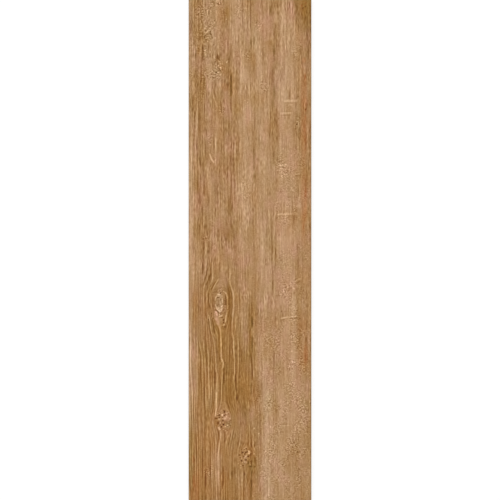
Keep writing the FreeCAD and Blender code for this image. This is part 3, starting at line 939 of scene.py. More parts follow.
# Single specks, dark and pale.
SPECKS = [
    *dots(
        Ink.DARK, 32, 0.9, (210.5, 3), (216.5, 3.4), (298, 96.8), (296.6, 124), (266.9, 260),
        (265.8, 264), (286.3, 293.5), (302.7, 290.8), (267.4, 344.4), (305.8, 370), (260.8, 420.4),
        (283.2, 213), (277, 217.6), (281.3, 311.4), (296.9, 310.6), (299.7, 318.6),
    ),
    *dots(Ink.DARK, 32, 1, (303.5, 421), (293.5, 493.4), (310, 403), (310, 441), (310, 452), (310, 462)),
    *dots(
        Ink.PALE, 34, 0.9, (244.7, 18), (244.4, 183.7), (278.3, 217.7), (300.5, 248), (301.6, 290),
        (270, 427),
    ),
    *dots(
        Ink.PALE, 28, 0.9, (226.3, 19), (205.3, 50.6), (227.5, 61.2), (238.7, 11), (240.5, 11),
        (237.7, 43),
    ),
    *dots(
        Ink.PALE, 24, 0.9, (210.2, 51.8), (221.9, 52.2), (242.4, 55), (247.4, 102.6), (244.7, 100.6),
        (280.8, 353.2), (287.6, 362.2), (266.3, 440.8), (271, 442.2), (271.3, 455.2),
    ),
    *dots(
        Ink.PALE, 26, 0.9, (283, 36.8), (261, 54), (282.2, 66.6), (283, 148.4), (281.3, 153.4),
        (291.3, 156), (281.3, 174.8), (224.4, 241.6), (214.8, 241.6), (294, 289), (238.6, 256.6),
    ),
    *dots(
        Ink.PALE, 22, 0.9, (261.4, 335.6), (263, 339), (270, 334.8), (288.5, 481.4), (222.4, 490),
        (291.3, 351),
    ),
    *dots(Ink.DARK, 30, 1, (279.7, 129.6), (278.3, 118.4), (289, 473.2), (297.4, 452), (290.8, 481.2)),
    *dots(
        Ink.DARK, 26, 0.9, (281.3, 297.6), (294.4, 292.6), (285.9, 290), (284.4, 282), (281.3, 320.8),
        (276.6, 384.8), (284.8, 411), (282, 465.2), (291.3, 453.4), (267.2, 454), (212.6, 1.6),
        (214.6, 3), (207.2, 235.2), (195.2, 10), (246.3, 184.4), (250.8, 192.4), (220.5, 176.8),
        (223.3, 178.8), (215.2, 109), (214.8, 159), (210.4, 163.2),
    ),
    *dots(
        Ink.DARK, 46, 1.1, (216.3, 69.6), (218.4, 67.8), (217.8, 64), (216.4, 72.4), (220.2, 70.6),
        (223.5, 73),
    ),
    *dots(Ink.PALE, 50, 1, (218.4, 66), (220.9, 68.6), (216.2, 74), (206.3, 26.6), (226.6, 62)),
    *dots(Ink.DARK, 42, 1, (207.4, 30.4), (204.7, 36), (214.6, 20.2), (218, 2.8), (213.6, 44.6)),
    *dots(Ink.DARK, 56, 1.15, (212.2, 37.4), (217.2, 67.3), (215.9, 72), (211, 31.4)),
    *dots(Ink.DARK, 24, 1, (206.5, 48.5), (206.5, 50.5), (209.7, 31.5), (223.4, 72.8)),
    *dots(Ink.PALE, 60, 1.05, (220.4, 68.2), (204.5, 50.4)),
    *dots(Ink.PALE, 36, 1, (215.3, 37.4), (207.5, 41.5), (214.5, 23.3), (209.5, 28.8), (204.6, 28.6)),
    *dots(
        Ink.DARK, 24, 0.9, (252.7, 277.6), (252.7, 281.8), (252.7, 323.6), (264.7, 91.2), (256.4, 159),
        (284.5, 235.2), (278.8, 235), (267.2, 179), (269.7, 281), (268.8, 312.4),
    ),
]

# Rusty and rosy marks, most of them along the two sides.
BLUSHES = [
    *strokes(Ink.RUST, 1.8, (8, (305.4, 70), (306, 90), (305.8, 106)), fade=12),
    *strokes(Ink.RUST, 2, (7, (306, 128), (306, 152)), (8, (306, 186), (305.6, 216)), fade=10),
    *uprights(
        Ink.RUST, 22, 1.2, (305.2, 107.6, 112), (305.2, 114.6, 120), (305.2, 187, 197), (304.7, 73, 81),
    ),
    *uprights(
        Ink.RUST, 14, 1.1, (304.5, 127, 132), (304.6, 135, 144), (304.7, 147, 151), (303, 222, 231),
    ),
    *dots(Ink.RUST, 24, 1.3, (305.6, 3.6), (301.3, 5.4), (305.8, 358.6), (304.8, 196)),
    *dots(Ink.DARK, 40, 1, (305.2, 6.2), (302.7, 7.8), (305.2, 109.4)),
    *patches(Ink.RUST, (9, 305.6, 354, 2.6, 11), (3, 307.4, 92, 4, 22), (3, 307.4, 130, 4, 20)),
    *uprights(Ink.GOLD, 14, 1.4, (306.6, 31, 41), (302, 353, 360), (305.8, 334, 344), (309, 90, 106)),
    *patches(Ink.ROSE, (15, 192.4, 351.5, 2, 9)),
    *strokes(Ink.ROSE, 1.6, (7, (190.4, 138), (190.6, 172)), fade=9),
    *strokes(Ink.ROSE, 1.8, (11, (192.6, 215), (193, 226)), (13, (217.6, 470), (218, 486)), fade=4),
    *strokes(Ink.ROSE, 2.2, (8, (192.6, 246), (193, 292)), fade=12),
    *strokes(Ink.RUST, 1.6, (14, (193.4, 474), (194, 488)), fade=4),
    *strokes(Ink.RUST, 1.8, (12, (191.4, 488), (191, 500)), fade=4),
    *strokes(Ink.ROSE, 2.6, (9, (239, 474), (240, 500)), fade=8),
    *strokes(Ink.ROSE, 1.8, (9, (258.6, 160), (258.8, 175))),
    *strokes(Ink.ROSE, 2.4, (9, (262, 152), (264, 168))),
]

# Small soft patches of ink.
PATCHES = [
    *patches(
        Ink.PALE, (5, 286, 238, 7, 10), (8, 266.8, 402, 4.6, 16), (4, 266.5, 426, 4, 13),
        (6, 266.6, 480, 4.2, 22), (9, 258.6, 405, 3, 9),
    ),
    *patches(Ink.MOSS, (3.5, 267, 402, 4.4, 15), (3.5, 267, 478, 4.2, 24)),
    *patches(
        Ink.GOLD, (4, 259, 390, 3, 7), (16, 231, 84.6, 1.5, 12), (10, 198.5, 50, 1.6, 5),
        (9, 226.5, 12, 2.6, 6), (5, 226, 232.5, 4, 5), (5, 228.6, 392, 4, 14), (6, 270, 43, 6, 3.5),
    ),
    *patches(
        Ink.DARK, (10, 262.6, 425, 2.4, 11), (8, 274, 412, 2.8, 28), (5, 270, 408, 2.4, 22),
        (12, 217.5, 58.6, 2.6, 4), (12, 292, 452, 2, 5), (10, 298, 453, 1.6, 4),
    ),
    *patches(
        Ink.ROSE, (3, 259, 462, 3.2, 14), (7, 209.5, 86, 4, 7), (8, 194, 50.5, 2.2, 4),
        (8, 261, 307, 2.2, 5), (5, 211.5, 114, 4, 6), (6, 243, 75, 5, 8), (3, 279, 302, 5, 6),
        (4, 262, 255, 4, 8),
    ),
    *patches(Ink.AMBER, (9, 231.4, 85, 3.4, 13)),
    *patches(Ink.GREY, (8, 285.8, 96, 2.4, 5)),
    *patches(
        Ink.RUST, (4, 304.6, 103, 3.4, 6), (3, 305.4, 212, 2.8, 11), (9, 193, 459, 2, 5),
        (9, 304, 60, 2.4, 3),
    ),
    *patches(Ink.OLIVE, (8, 307, 407, 3, 8)),
]

# Flecked patches, and with a fleck below nothing the calm ones.
FLECKED = flecks(
    (0.8, 208, 31, 5, 10), (0.5, 205, 46, 3, 8), (0.8, 218, 68, 5, 9), (0.45, 213, 75, 7, 6),
    (0.45, 222, 108, 3, 8), (0.6, 204, 9, 8, 6), (0.6, 216, 2, 7, 4), (0.52, 241, 10, 6, 10),
    (0.35, 259, 25, 5, 7), (0.3, 244, 54, 9, 7), (0.38, 261, 55, 5, 8), (0.38, 264, 84, 5, 9),
    (0.45, 209, 120, 5, 6), (0.45, 210, 140, 3, 6), (0.28, 282, 168, 8, 14), (0.6, 286, 206, 11, 12),
    (0.4, 210, 240, 8, 13), (0.38, 246, 188, 5, 14), (0.25, 298, 281, 7, 6), (0.22, 284, 291, 8, 8),
    (0.45, 299, 126, 5, 12), (0.22, 297, 50, 5, 16), (0.2, 287, 362, 8, 7), (0.22, 268, 450, 9, 14),
    (0.52, 253, 402, 6, 10), (0.15, 246, 456, 7, 9), (0.15, 223, 420, 8, 11), (0.45, 208, 471, 5, 6),
    (-0.7, 286, 238, 7, 10), (0.2, 266.8, 402, 4.6, 16), (0.1, 259, 390, 3, 7),
    (0.1, 258.6, 405, 3, 9), (0.2, 262.6, 425, 2.4, 11), (0.1, 259, 462, 3.2, 14),
    (-0.5, 285.8, 96, 2.4, 5), (-0.7, 211.5, 114, 4, 6), (-0.7, 226, 232.5, 4, 5),
    (-0.7, 228.6, 392, 4, 14), (-0.4, 227, 348, 4, 20), (-0.5, 243, 75, 5, 8),
    (-0.4, 270, 43, 6, 3.5), (-0.6, 279, 302, 5, 6), (-0.5, 293, 355, 6, 5), (-0.4, 242, 270, 6, 16),
    (-0.5, 262, 255, 4, 8),
)

# Stretches of long fine lines on the left, and of specks on the lower right.
WEAVES = [
    Weave((186, 207), (-20, 100), lines=0.35, specks=0.25),
    Weave((186, 207), (100, 330), lines=0.7),
    Weave((186, 207), (330, 520), lines=1.4),
    Weave((207, 250), (95, 290), lines=0.35),
    Weave((207, 231), (300, 420), lines=0.75),
    Weave((207, 231), (420, 520), lines=1.1),
    Weave((231, 252), (300, 412), lines=0.5),
    Weave((231, 252), (412, 520), lines=0.5),
    Weave((231, 256), (-20, 95), lines=-0.15),
    Weave((278, 306), (-20, 95), lines=0.2),
    Weave((254, 306), (-20, 300), lines=-0.3),
    Weave((204, 224), (-20, 84), specks=0.12),
    Weave((278, 308), (150, 325), lines=-0.4, specks=0.2),
    Weave((278, 308), (325, 520), lines=-0.9, specks=0.36),
    Weave((256, 278), (325, 520), lines=-0.5, specks=0.22),
]

# The main knot and the two lesser ones below it.
KNOTS = [
    Knot((220.6, 304), 8.2, 21.0, fleck=0.2, lean=0.04),
    Knot((223.4, 420), 7.0, 10.5, fleck=0.1, spread=4.0),
    Knot((246, 456.5), 5.5, 8.0, fleck=0.1, spread=3.5),
]

# Every feature of the figure. They add up, so their order doesn't matter.
FEATURES = [
    *(PALE_STAVES + DARK_STAVES + GOLD_STAVES + AMBER_STAVES + MOSS_STAVES + ROSE_STAVES + RUST_STAVES),
    *(GREY_STAVES + OLIVE_STAVES + OWN_SOFT_STAVES + PATCHES + FLECKED + WEAVES),
    *(KNOTS + KNOT_THREADS + KNOT_MARKS + SMALL_KNOT_MARKS),
    *(SEAMS + THREADS + SCARS + TORN_GRAIN + SPECKS + BLUSHES),
]


class PoreNoise(Enum):
    """The independent noises of the emboss."""

    LONG = 3.7
    SHORT = 11.2
    MOTTLE = 29.0


@dataclass(frozen=True)
class WoodFigure:
    """The wood figure that is printed and embossed on the face."""

    tone_span: float = 35.0
    hue_span: float = 20.0
    pore_across: float = 1.5
    pore_along: float = 22.0
    short_pore_narrower: float = 1.7
    short_pore_length: float = 0.4
    long_pore_share: float = 1.2
    short_pore_share: float = 0.7
    pore_gap: float = 0.12
    mottle_grain: float = 1.6
    deepest: float = 0.28 * MM
    ground: float = 0.05 * MM
    groove_depth: float = 0.12 * MM
    pore_depth: float = 0.10 * MM
    fleck_depth: float = 0.06 * MM

    def fields(self, columns: np.ndarray, rows: np.ndarray) -> FigureFields:
        """Lays every feature of the figure.

        Args:
            columns: pixel column of each point of the face.
            rows: pixel row of each point of the face.

        Returns:
            The finished fields.
        """
        fields = FigureFields(columns, rows)
        for feature in FEATURES:
            feature.lay(fields)
        return fields

    def pores(self, fields: FigureFields) -> np.ndarray:
        """Marks the long pores of the grain, from 0 between them to 1 in them."""
        across = (fields.columns - fields.shift) / self.pore_across
        along = fields.rows / self.pore_along
        long_pores = grain_noise(across, along, PoreNoise.LONG.value)
        narrow = across * self.short_pore_narrower
        short_pores = grain_noise(narrow, along / self.short_pore_length, PoreNoise.SHORT.value)
        pores = self.long_pore_share * long_pores + self.short_pore_share * short_pores
        return np.clip(pores - self.pore_gap, 0.0, 1.0)

    def depth(self, fields: FigureFields, pores: np.ndarray) -> np.ndarray:
        """Works out how far the emboss sinks below the level of the face.

        Args:
            fields: the print at each point.
            pores: the pores at each point.

        Returns:
            Depth in metres, never below nothing.
        """
        across = fields.columns / self.mottle_grain
        mottle = grain_noise(across, fields.rows / self.mottle_grain, PoreNoise.MOTTLE.value)
        sunk = self.ground + self.groove_depth * fields.groove + self.pore_depth * pores
        sunk += self.fleck_depth * fields.fleck * mottle
        return np.clip(sunk, 0.0, self.deepest)


@dataclass(frozen=True)
class Grain:
    """One noise: its grains to a metre along each axis, which of many noises it is, and its make."""

    across: float
    along: float
    upward: float = 1.0
    layer: float = 0.0
    detail: float = 1.0
    roughness: float = 0.5
    swirl: float = 0.0


@dataclass(frozen=True)
class Span:
    """A range of numbers, and the range that it is carried over to."""

    source: tuple[float, float]
    target: tuple[float, float] = (0.0, 1.0)


@dataclass
class NodeSheet:
    """A node tree and the short hand for building it."""

    tree: bpy.types.NodeTree

    def add(self, kind: str, **settings: object) -> bpy.types.Node:
        """Adds a node and sets its own options."""
        node = self.tree.nodes.new(kind)
        for name, value in settings.items():
            setattr(node, name, value)
        return node

    def plug(self, value: Socket | float | tuple, socket: Socket) -> None:
        """Links a socket to an input, or sets the input to a value."""
        if isinstance(value, bpy.types.NodeSocket):
            self.tree.links.new(value, socket)
        else:
            socket.default_value = value

    def attribute(self, name: str) -> Socket:
        """Reads one of the plank's own attributes."""
        return self.add("ShaderNodeAttribute", attribute_name=name).outputs["Vector"]

    def split(self, vector: Socket) -> tuple[Socket, Socket, Socket]:
        """Takes a vector apart into its three numbers."""
        node = self.add("ShaderNodeSeparateXYZ")
        self.plug(vector, node.inputs[0])
        return node.outputs[0], node.outputs[1], node.outputs[2]

    def join(self, x: Socket | float, y: Socket | float, z: Socket | float) -> Socket:
        """Puts three numbers together into a vector."""
        node = self.add("ShaderNodeCombineXYZ")
        for value, socket in zip((x, y, z), node.inputs):
            self.plug(value, socket)
        return node.outputs[0]

    def sum(self, operation: str, *values: Socket | float) -> Socket:
        """Works out one sum of up to three numbers."""
        node = self.add("ShaderNodeMath", operation=operation)
        for value, socket in zip(values, node.inputs):
            self.plug(value, socket)
        return node.outputs[0]

    def sway(self, total: Socket, noise_value: Socket, amount: Socket | float) -> Socket:
        """Adds an amount of a noise to a total, up where the noise is high and down where it is low."""
        return self.sum("MULTIPLY_ADD", self.sum("SUBTRACT", noise_value, MIDDLE), amount, total)

    def noise(self, place: Socket, grain: Grain) -> Socket:
        """Reads a noise.

        Args:
            place: coordinates in metres.
            grain: size and make of the noise.

        Returns:
            The noise, about 0.5.
        """
        scaled = self.add("ShaderNodeMapping")
        self.plug(place, scaled.inputs["Vector"])
        self.plug(tuple(grain.layer * step for step in LAYER_STEP), scaled.inputs["Location"])
        self.plug((grain.across, grain.along, grain.upward), scaled.inputs["Scale"])
        node = self.add("ShaderNodeTexNoise")
        self.plug(scaled.outputs[0], node.inputs["Vector"])
        self.plug(1.0, node.inputs["Scale"])
        self.plug(grain.detail, node.inputs["Detail"])
        self.plug(grain.roughness, node.inputs["Roughness"])
        self.plug(grain.swirl, node.inputs["Distortion"])
        return node.outputs["Fac"]

    def span(self, value: Socket, span: Span) -> Socket:
        """Carries one range of numbers over to another, and holds it at the ends."""
        node = self.add("ShaderNodeMapRange", clamp=True)
        for number, socket in zip((value, *span.source, *span.target), node.inputs):
            self.plug(number, socket)
        return node.outputs[0]

    def ramp(self, value: Socket, stops: list[tuple[float, Rgb]]) -> Socket:
        """Turns a number into a colour by a row of stops."""
        node = self.add("ShaderNodeValToRGB")
        self.plug(value, node.inputs[0])
        elements = node.color_ramp.elements
        while len(elements) < len(stops):
            elements.new(1.0)
        for element, (place, colour) in zip(elements, stops):
            element.position = place
            element.color = linear(colour)
        return node.outputs[0]

    def gamma(self, colour: Socket, power: float) -> Socket:
        """Raises a colour to a power."""
        node = self.add("ShaderNodeGamma")
        self.plug(colour, node.inputs["Color"])
        self.plug(power, node.inputs["Gamma"])
        return node.outputs[0]

    def blend(self, share: Socket, under: Socket | tuple, over: tuple) -> Socket:
        """Mixes two colours."""
        node = self.add("ShaderNodeMix", data_type="RGBA")
        # The inputs for colours come after those for numbers and vectors.
        for value, index in ((share, 0), (under, 6), (over, 7)):
            self.plug(value, node.inputs[index])
        return node.outputs[2]

    def bump(self, height: Socket, strength: float, distance: float) -> Socket:
        """Turns a height into a bumped normal.

        Args:
            height: height at each place, in units of the distance.
            strength: share of the bump that is used.
            distance: height of one unit, in metres.

        Returns:
            The normal.
        """
        node = self.add("ShaderNodeBump")
        self.plug(strength, node.inputs["Strength"])
        self.plug(distance, node.inputs["Distance"])
        self.plug(height, node.inputs["Height"])
        return node.outputs["Normal"]


@dataclass(frozen=True)
class FiredSpeckle:
    """Shared effect: the specks and pinholes that fired porcelain shows, in the glaze and in the body."""

    speck_grain: Grain = Grain(1400.0, 1400.0, 1400.0)
    pinhole_grain: Grain = Grain(620.0, 620.0, 620.0, layer=7.0, detail=0.0)
    cloud_grain: Grain = Grain(45.0, 45.0, 45.0, layer=3.0, detail=3.0)
    speck_span: Span = Span((0.56, 0.72))
    pinhole_span: Span = Span((0.68, 0.80))
    cloud_span: Span = Span((0.3, 0.7))
    name: str = "fired_speckle"

    def group(self) -> bpy.types.NodeTree:
        """Finds the node group, or builds it the first time.

        Returns:
            A group that takes a place and puts out specks, pinholes and a cloud, from 0 to 1.
        """
        found = bpy.data.node_groups.get(self.name)
        if found:
            return found
        tree = bpy.data.node_groups.new(self.name, "ShaderNodeTree")
        tree.interface.new_socket("Place", in_out="INPUT", socket_type="NodeSocketVector")
        for output in ("Specks", "Pinholes", "Cloud"):
            tree.interface.new_socket(output, in_out="OUTPUT", socket_type="NodeSocketFloat")
        sheet = NodeSheet(tree)
        place = sheet.add("NodeGroupInput").outputs["Place"]
        out = sheet.add("NodeGroupOutput")
        for output, grain, span in (
            ("Specks", self.speck_grain, self.speck_span),
            ("Pinholes", self.pinhole_grain, self.pinhole_span),
            ("Cloud", self.cloud_grain, self.cloud_span),
        ):
            sheet.plug(sheet.span(sheet.noise(place, grain), span), out.inputs[output])
        return tree

    def place(self, sheet: NodeSheet, place: Socket) -> bpy.types.Node:
        """Places the group in a material.

        Args:
            sheet: the material's nodes.
            place: Object coordinates.

        Returns:
            The group's node.
        """
        node = sheet.add("ShaderNodeGroup", node_tree=self.group())
        sheet.plug(place, node.inputs["Place"])
        return node


@dataclass(frozen=True)
class GlazeGrain:
    """The noises of the print: streaks along the flow of the grain, and grit in place."""

    drift: Grain = Grain(22.0, 9.0, layer=4.0)
    band: Grain = Grain(150.0, 5.0, layer=11.0)
    streak: Grain = Grain(420.0, 14.0, layer=23.0)
    dash: Grain = Grain(740.0, 26.0, layer=37.0)
    tick: Grain = Grain(900.0, 200.0, layer=51.0, detail=0.0)
    cloud: Grain = Grain(95.0, 38.0, layer=67.0, detail=5.0, roughness=0.65)
    line_warp: Grain = Grain(70.0, 6.0, layer=91.0, detail=2.0)
    line_share: Grain = Grain(260.0, 14.0, layer=83.0)
    patch: Grain = Grain(95.0, 60.0, layer=29.0)
    grit: Grain = Grain(560.0, 680.0, layer=5.0, detail=0.0, swirl=0.8)
    gold: Grain = Grain(75.0, 36.0, 0.0, layer=17.0)
    rust: Grain = Grain(75.0, 36.0, 0.0, layer=43.0)


@dataclass(frozen=True)
class PrintedGlaze:
    """Finish of the face: a matt glaze with a honey-brown wood figure printed under it.

    The colours are eight-bit screen colours. What is called a share counts how far a noise lightens
    and darkens the print, as a part of white on the screen.
    """

    seam: Rgb = (110, 68, 8)
    dark: Rgb = (135, 90, 20)
    honey: Rgb = (170, 128, 82)
    pale: Rgb = (205, 166, 128)
    thread: Rgb = (230, 190, 148)
    gold: Rgb = (150, 104, 24)
    rose: Rgb = (204, 152, 128)
    rust: Rgb = (184, 100, 46)
    olive: Rgb = (138, 118, 64)
    grain: GlazeGrain = GlazeGrain()
    roughness: float = 0.58
    roughness_sway: float = 0.08
    specular: float = 0.25
    speck_share: float = 0.10
    drift_reach: float = 6.0 * MM
    line_pitch: float = 3.1 * MM
    line_wander: float = 5.0
    line_depth: Span = Span((0.35, 0.65), (0.05, 0.5))
    gold_drift: float = 2.99
    rust_drift: float = 0.816
    most_lean: float = 0.42
    tone_span: Span = Span((-0.25, 1.25))
    band_tone: float = 0.1
    cloud_tone: float = 0.3
    streak_share: float = 0.12
    dash_share: float = 0.25
    tick_share: float = 0.18
    line_share: float = 0.18
    pore_share: float = 0.03
    fleck_share: float = 0.80
    least_fleck: float = 0.08
    most_fleck: float = 0.75
    plain_where_uncombed: Span = Span((-1.0, 0.0), (0.35, 1.0))
    plain_where_combed: Span = Span((0.5, 1.5), (1.0, 0.65))
    plain_where_calm: Span = Span((-1.0, 0.0), (0.3, 1.0))
    streaks_by_patch: Span = Span((0.36, 0.64), (0.35, 1.75))
    grit_by_patch: Span = Span((0.38, 0.62), (1.8, 0.2))
    grit_span: Span = Span((-0.035, 0.035), (0.29, 0.71))
    darkest_shown: float = 0.02
    screen_gamma: float = 2.2
    tick_height: float = 0.5
    pinhole_depth: float = 0.5
    bump_strength: float = 0.35
    bump_height: float = 0.12 * MM

    def material(self) -> bpy.types.Material:
        """Builds the material."""
        made = bpy.data.materials.new("printed_glaze")
        made.use_nodes = True
        sheet = NodeSheet(made.node_tree)
        shader = made.node_tree.nodes["Principled BSDF"]
        place = sheet.add("ShaderNodeTexCoord").outputs["Object"]
        speckle = FiredSpeckle().place(sheet, place)
        streaks = self._streaks(sheet)
        colour = self._tint(sheet, self._tone(sheet, streaks))
        colour = self._mark(sheet, colour, self._marks(sheet, place, streaks))
        specked = sheet.sum("MULTIPLY", speckle.outputs["Specks"], self.speck_share)
        sheet.plug(sheet.blend(specked, colour, linear(self.dark)), shader.inputs["Base Color"])
        sheet.plug(self.specular, shader.inputs["Specular IOR Level"])
        least_rough = self.roughness - self.roughness_sway / 2
        rough = sheet.sum("MULTIPLY_ADD", speckle.outputs["Cloud"], self.roughness_sway, least_rough)
        sheet.plug(rough, shader.inputs["Roughness"])
        relief = self._relief(sheet, streaks, speckle.outputs["Pinholes"])
        sheet.plug(relief, shader.inputs["Normal"])
        return made

    def _streaks(self, sheet: NodeSheet) -> dict[str, Socket]:
        """Draws the streaks of the grain along its flow round the knots.

        Args:
            sheet: the material's nodes.

        Returns:
            Streaks by name, each a noise about 0.5.
        """
        across, along, _ = sheet.split(sheet.attribute(FLOW))
        level = sheet.join(across, along, 0.0)
        bent = sheet.sway(across, sheet.noise(level, self.grain.drift), self.drift_reach)
        flow = sheet.join(bent, along, 0.0)
        return {
            "band": sheet.noise(flow, self.grain.band),
            "streak": sheet.noise(flow, self.grain.streak),
            "dash": sheet.noise(flow, self.grain.dash),
            "tick": sheet.noise(flow, self.grain.tick),
            "cloud": sheet.noise(flow, self.grain.cloud),
            "line": self._lines(sheet, level, flow),
        }

    def _lines(self, sheet: NodeSheet, level: Socket, flow: Socket) -> Socket:
        """Draws long fine lines, nearly evenly spaced.

        Args:
            sheet: the material's nodes.
            level: the flow's coordinates.
            flow: the same with a slow drift.

        Returns:
            The lines, about 0.5.
        """
        warp = sheet.noise(level, self.grain.line_warp)
        phase = sheet.sum("MULTIPLY", sheet.split(level)[0], math.tau / self.line_pitch)
        phase = sheet.sum("MULTIPLY_ADD", warp, self.line_wander * math.tau, phase)
        depth = sheet.span(sheet.noise(flow, self.grain.line_share), self.line_depth)
        return sheet.sum("MULTIPLY_ADD", sheet.sum("SINE", phase), depth, MIDDLE)

    def _tone(self, sheet: NodeSheet, streaks: dict[str, Socket]) -> Socket:
        """Adds the broad streaks to the placed tone.

        Args:
            sheet: the material's nodes.
            streaks: the grain's streaks.

        Returns:
            Tone from 0, darkest, to 1, palest.
        """
        placed = sheet.split(sheet.attribute(FIGURE))[0]
        total = sheet.sum("MULTIPLY_ADD", placed, 0.5, MIDDLE)
        total = sheet.sway(total, streaks["band"], self.band_tone)
        return sheet.sway(total, streaks["cloud"], self.cloud_tone)

    def _marks(self, sheet: NodeSheet, place: Socket, streaks: dict[str, Socket]) -> Socket:
        """Adds up the fine marks: placed lines, streaks, grit and pores.

        Args:
            sheet: the material's nodes.
            place: Object coordinates.
            streaks: the grain's streaks.

        Returns:
            How much lighter the print is, as a share of white on the screen.
        """
        fleck, placed, pores = sheet.split(sheet.attribute(SURFACE))
        combed = sheet.split(sheet.attribute(FLOW))[2]
        patchy = sheet.noise(place, self.grain.patch)
        lively = sheet.span(patchy, self.streaks_by_patch)
        for value, span in (
            (combed, self.plain_where_uncombed),
            (combed, self.plain_where_combed),
            (fleck, self.plain_where_calm),
        ):
            lively = sheet.sum("MULTIPLY", lively, sheet.span(value, span))
        total = sheet.sum("MULTIPLY_ADD", pores, -self.pore_share, placed)
        for name, share in (
            ("streak", self.streak_share),
            ("dash", self.dash_share),
            ("tick", self.tick_share),
        ):
            total = sheet.sway(total, streaks[name], sheet.sum("MULTIPLY", lively, share))
        lined = sheet.sum("MULTIPLY", sheet.sum("MAXIMUM", combed, 0.0), self.line_share)
        total = sheet.sway(total, streaks["line"], lined)
        return sheet.sway(total, self._grit(sheet, place), self._grit_share(sheet, fleck, patchy))

    def _grit(self, sheet: NodeSheet, place: Socket) -> Socket:
        """Draws grit: mostly plain ground, with dark and pale specks that stand out of it.

        Args:
            sheet: the material's nodes.
            place: Object coordinates.

        Returns:
            The grit, about 0.5.
        """
        grit = sheet.sum("SUBTRACT", sheet.noise(place, self.grain.grit), MIDDLE)
        sparse = sheet.sum("MULTIPLY", grit, sheet.sum("ABSOLUTE", grit))
        return sheet.span(sparse, self.grit_span)

    def _grit_share(self, sheet: NodeSheet, fleck: Socket, patchy: Socket) -> Socket:
        """Finds how strong the grit is: by the placed fleck, and most between the streaky patches.

        Args:
            sheet: the material's nodes.
            fleck: the placed fleck.
            patchy: the noise of the streaky patches.

        Returns:
            The grit's share.
        """
        placed = sheet.sum("MAXIMUM", fleck, 0.0)
        flecked = sheet.sum("MULTIPLY_ADD", placed, self.fleck_share, self.least_fleck)
        share = sheet.sum("MULTIPLY", flecked, sheet.span(patchy, self.grit_by_patch))
        return sheet.sum("MINIMUM", share, self.most_fleck)

    def _mark(self, sheet: NodeSheet, colour: Socket, marks: Socket) -> Socket:
        """Lightens and darkens a colour evenly, as it is seen on a screen, and keeps its hue.

        Args:
            sheet: the material's nodes.
            colour: linear colour.
            marks: how much lighter it becomes, as a share of white.

        Returns:
            The marked colour, linear.
        """
        marked = sheet.add("ShaderNodeVectorMath", operation="ADD")
        sheet.plug(sheet.gamma(colour, 1 / self.screen_gamma), marked.inputs[0])
        sheet.plug(sheet.join(marks, marks, marks), marked.inputs[1])
        held = sheet.add("ShaderNodeVectorMath", operation="MAXIMUM")
        sheet.plug(marked.outputs[0], held.inputs[0])
        sheet.plug((self.darkest_shown,) * 3, held.inputs[1])
        return sheet.gamma(held.outputs[0], self.screen_gamma)

    def _tint(self, sheet: NodeSheet, tone: Socket) -> Socket:
        """Turns tone into ink colour and leans it to gold, rose, rust or olive.

        Args:
            sheet: the material's nodes.
            tone: from 0 to 1.

        Returns:
            The print's colour.
        """
        _, gold, rust = sheet.split(sheet.attribute(FIGURE))
        flow = sheet.attribute(FLOW)
        gold = sheet.sway(gold, sheet.noise(flow, self.grain.gold), self.gold_drift)
        rust = sheet.sway(rust, sheet.noise(flow, self.grain.rust), self.rust_drift)
        stops = [
            (0.0, self.seam),
            (1 / 6, self.dark),
            (1 / 2, self.honey),
            (5 / 6, self.pale),
            (1.0, self.thread),
        ]
        colour = sheet.ramp(sheet.span(tone, self.tone_span), stops)
        leaning = Span((0.0, 1.0), (0.0, self.most_lean))
        for lean, sign, ink in (
            (gold, 1.0, self.gold),
            (gold, -1.0, self.rose),
            (rust, 1.0, self.rust),
            (rust, -1.0, self.olive),
        ):
            share = sheet.span(sheet.sum("MULTIPLY", lean, sign), leaning)
            colour = sheet.blend(share, colour, linear(ink))
        return colour

    def _relief(self, sheet: NodeSheet, streaks: dict[str, Socket], pinholes: Socket) -> Socket:
        """Makes the finest emboss, below what the mesh holds, as a bump.

        Args:
            sheet: the material's nodes.
            streaks: the grain's streaks.
            pinholes: the pinholes of the shared speckle.

        Returns:
            The bumped normal.
        """
        height = sheet.sum("MULTIPLY_ADD", streaks["tick"], self.tick_height, streaks["dash"])
        height = sheet.sum("MULTIPLY_ADD", pinholes, -self.pinhole_depth, height)
        return sheet.bump(height, self.bump_strength, self.bump_height)


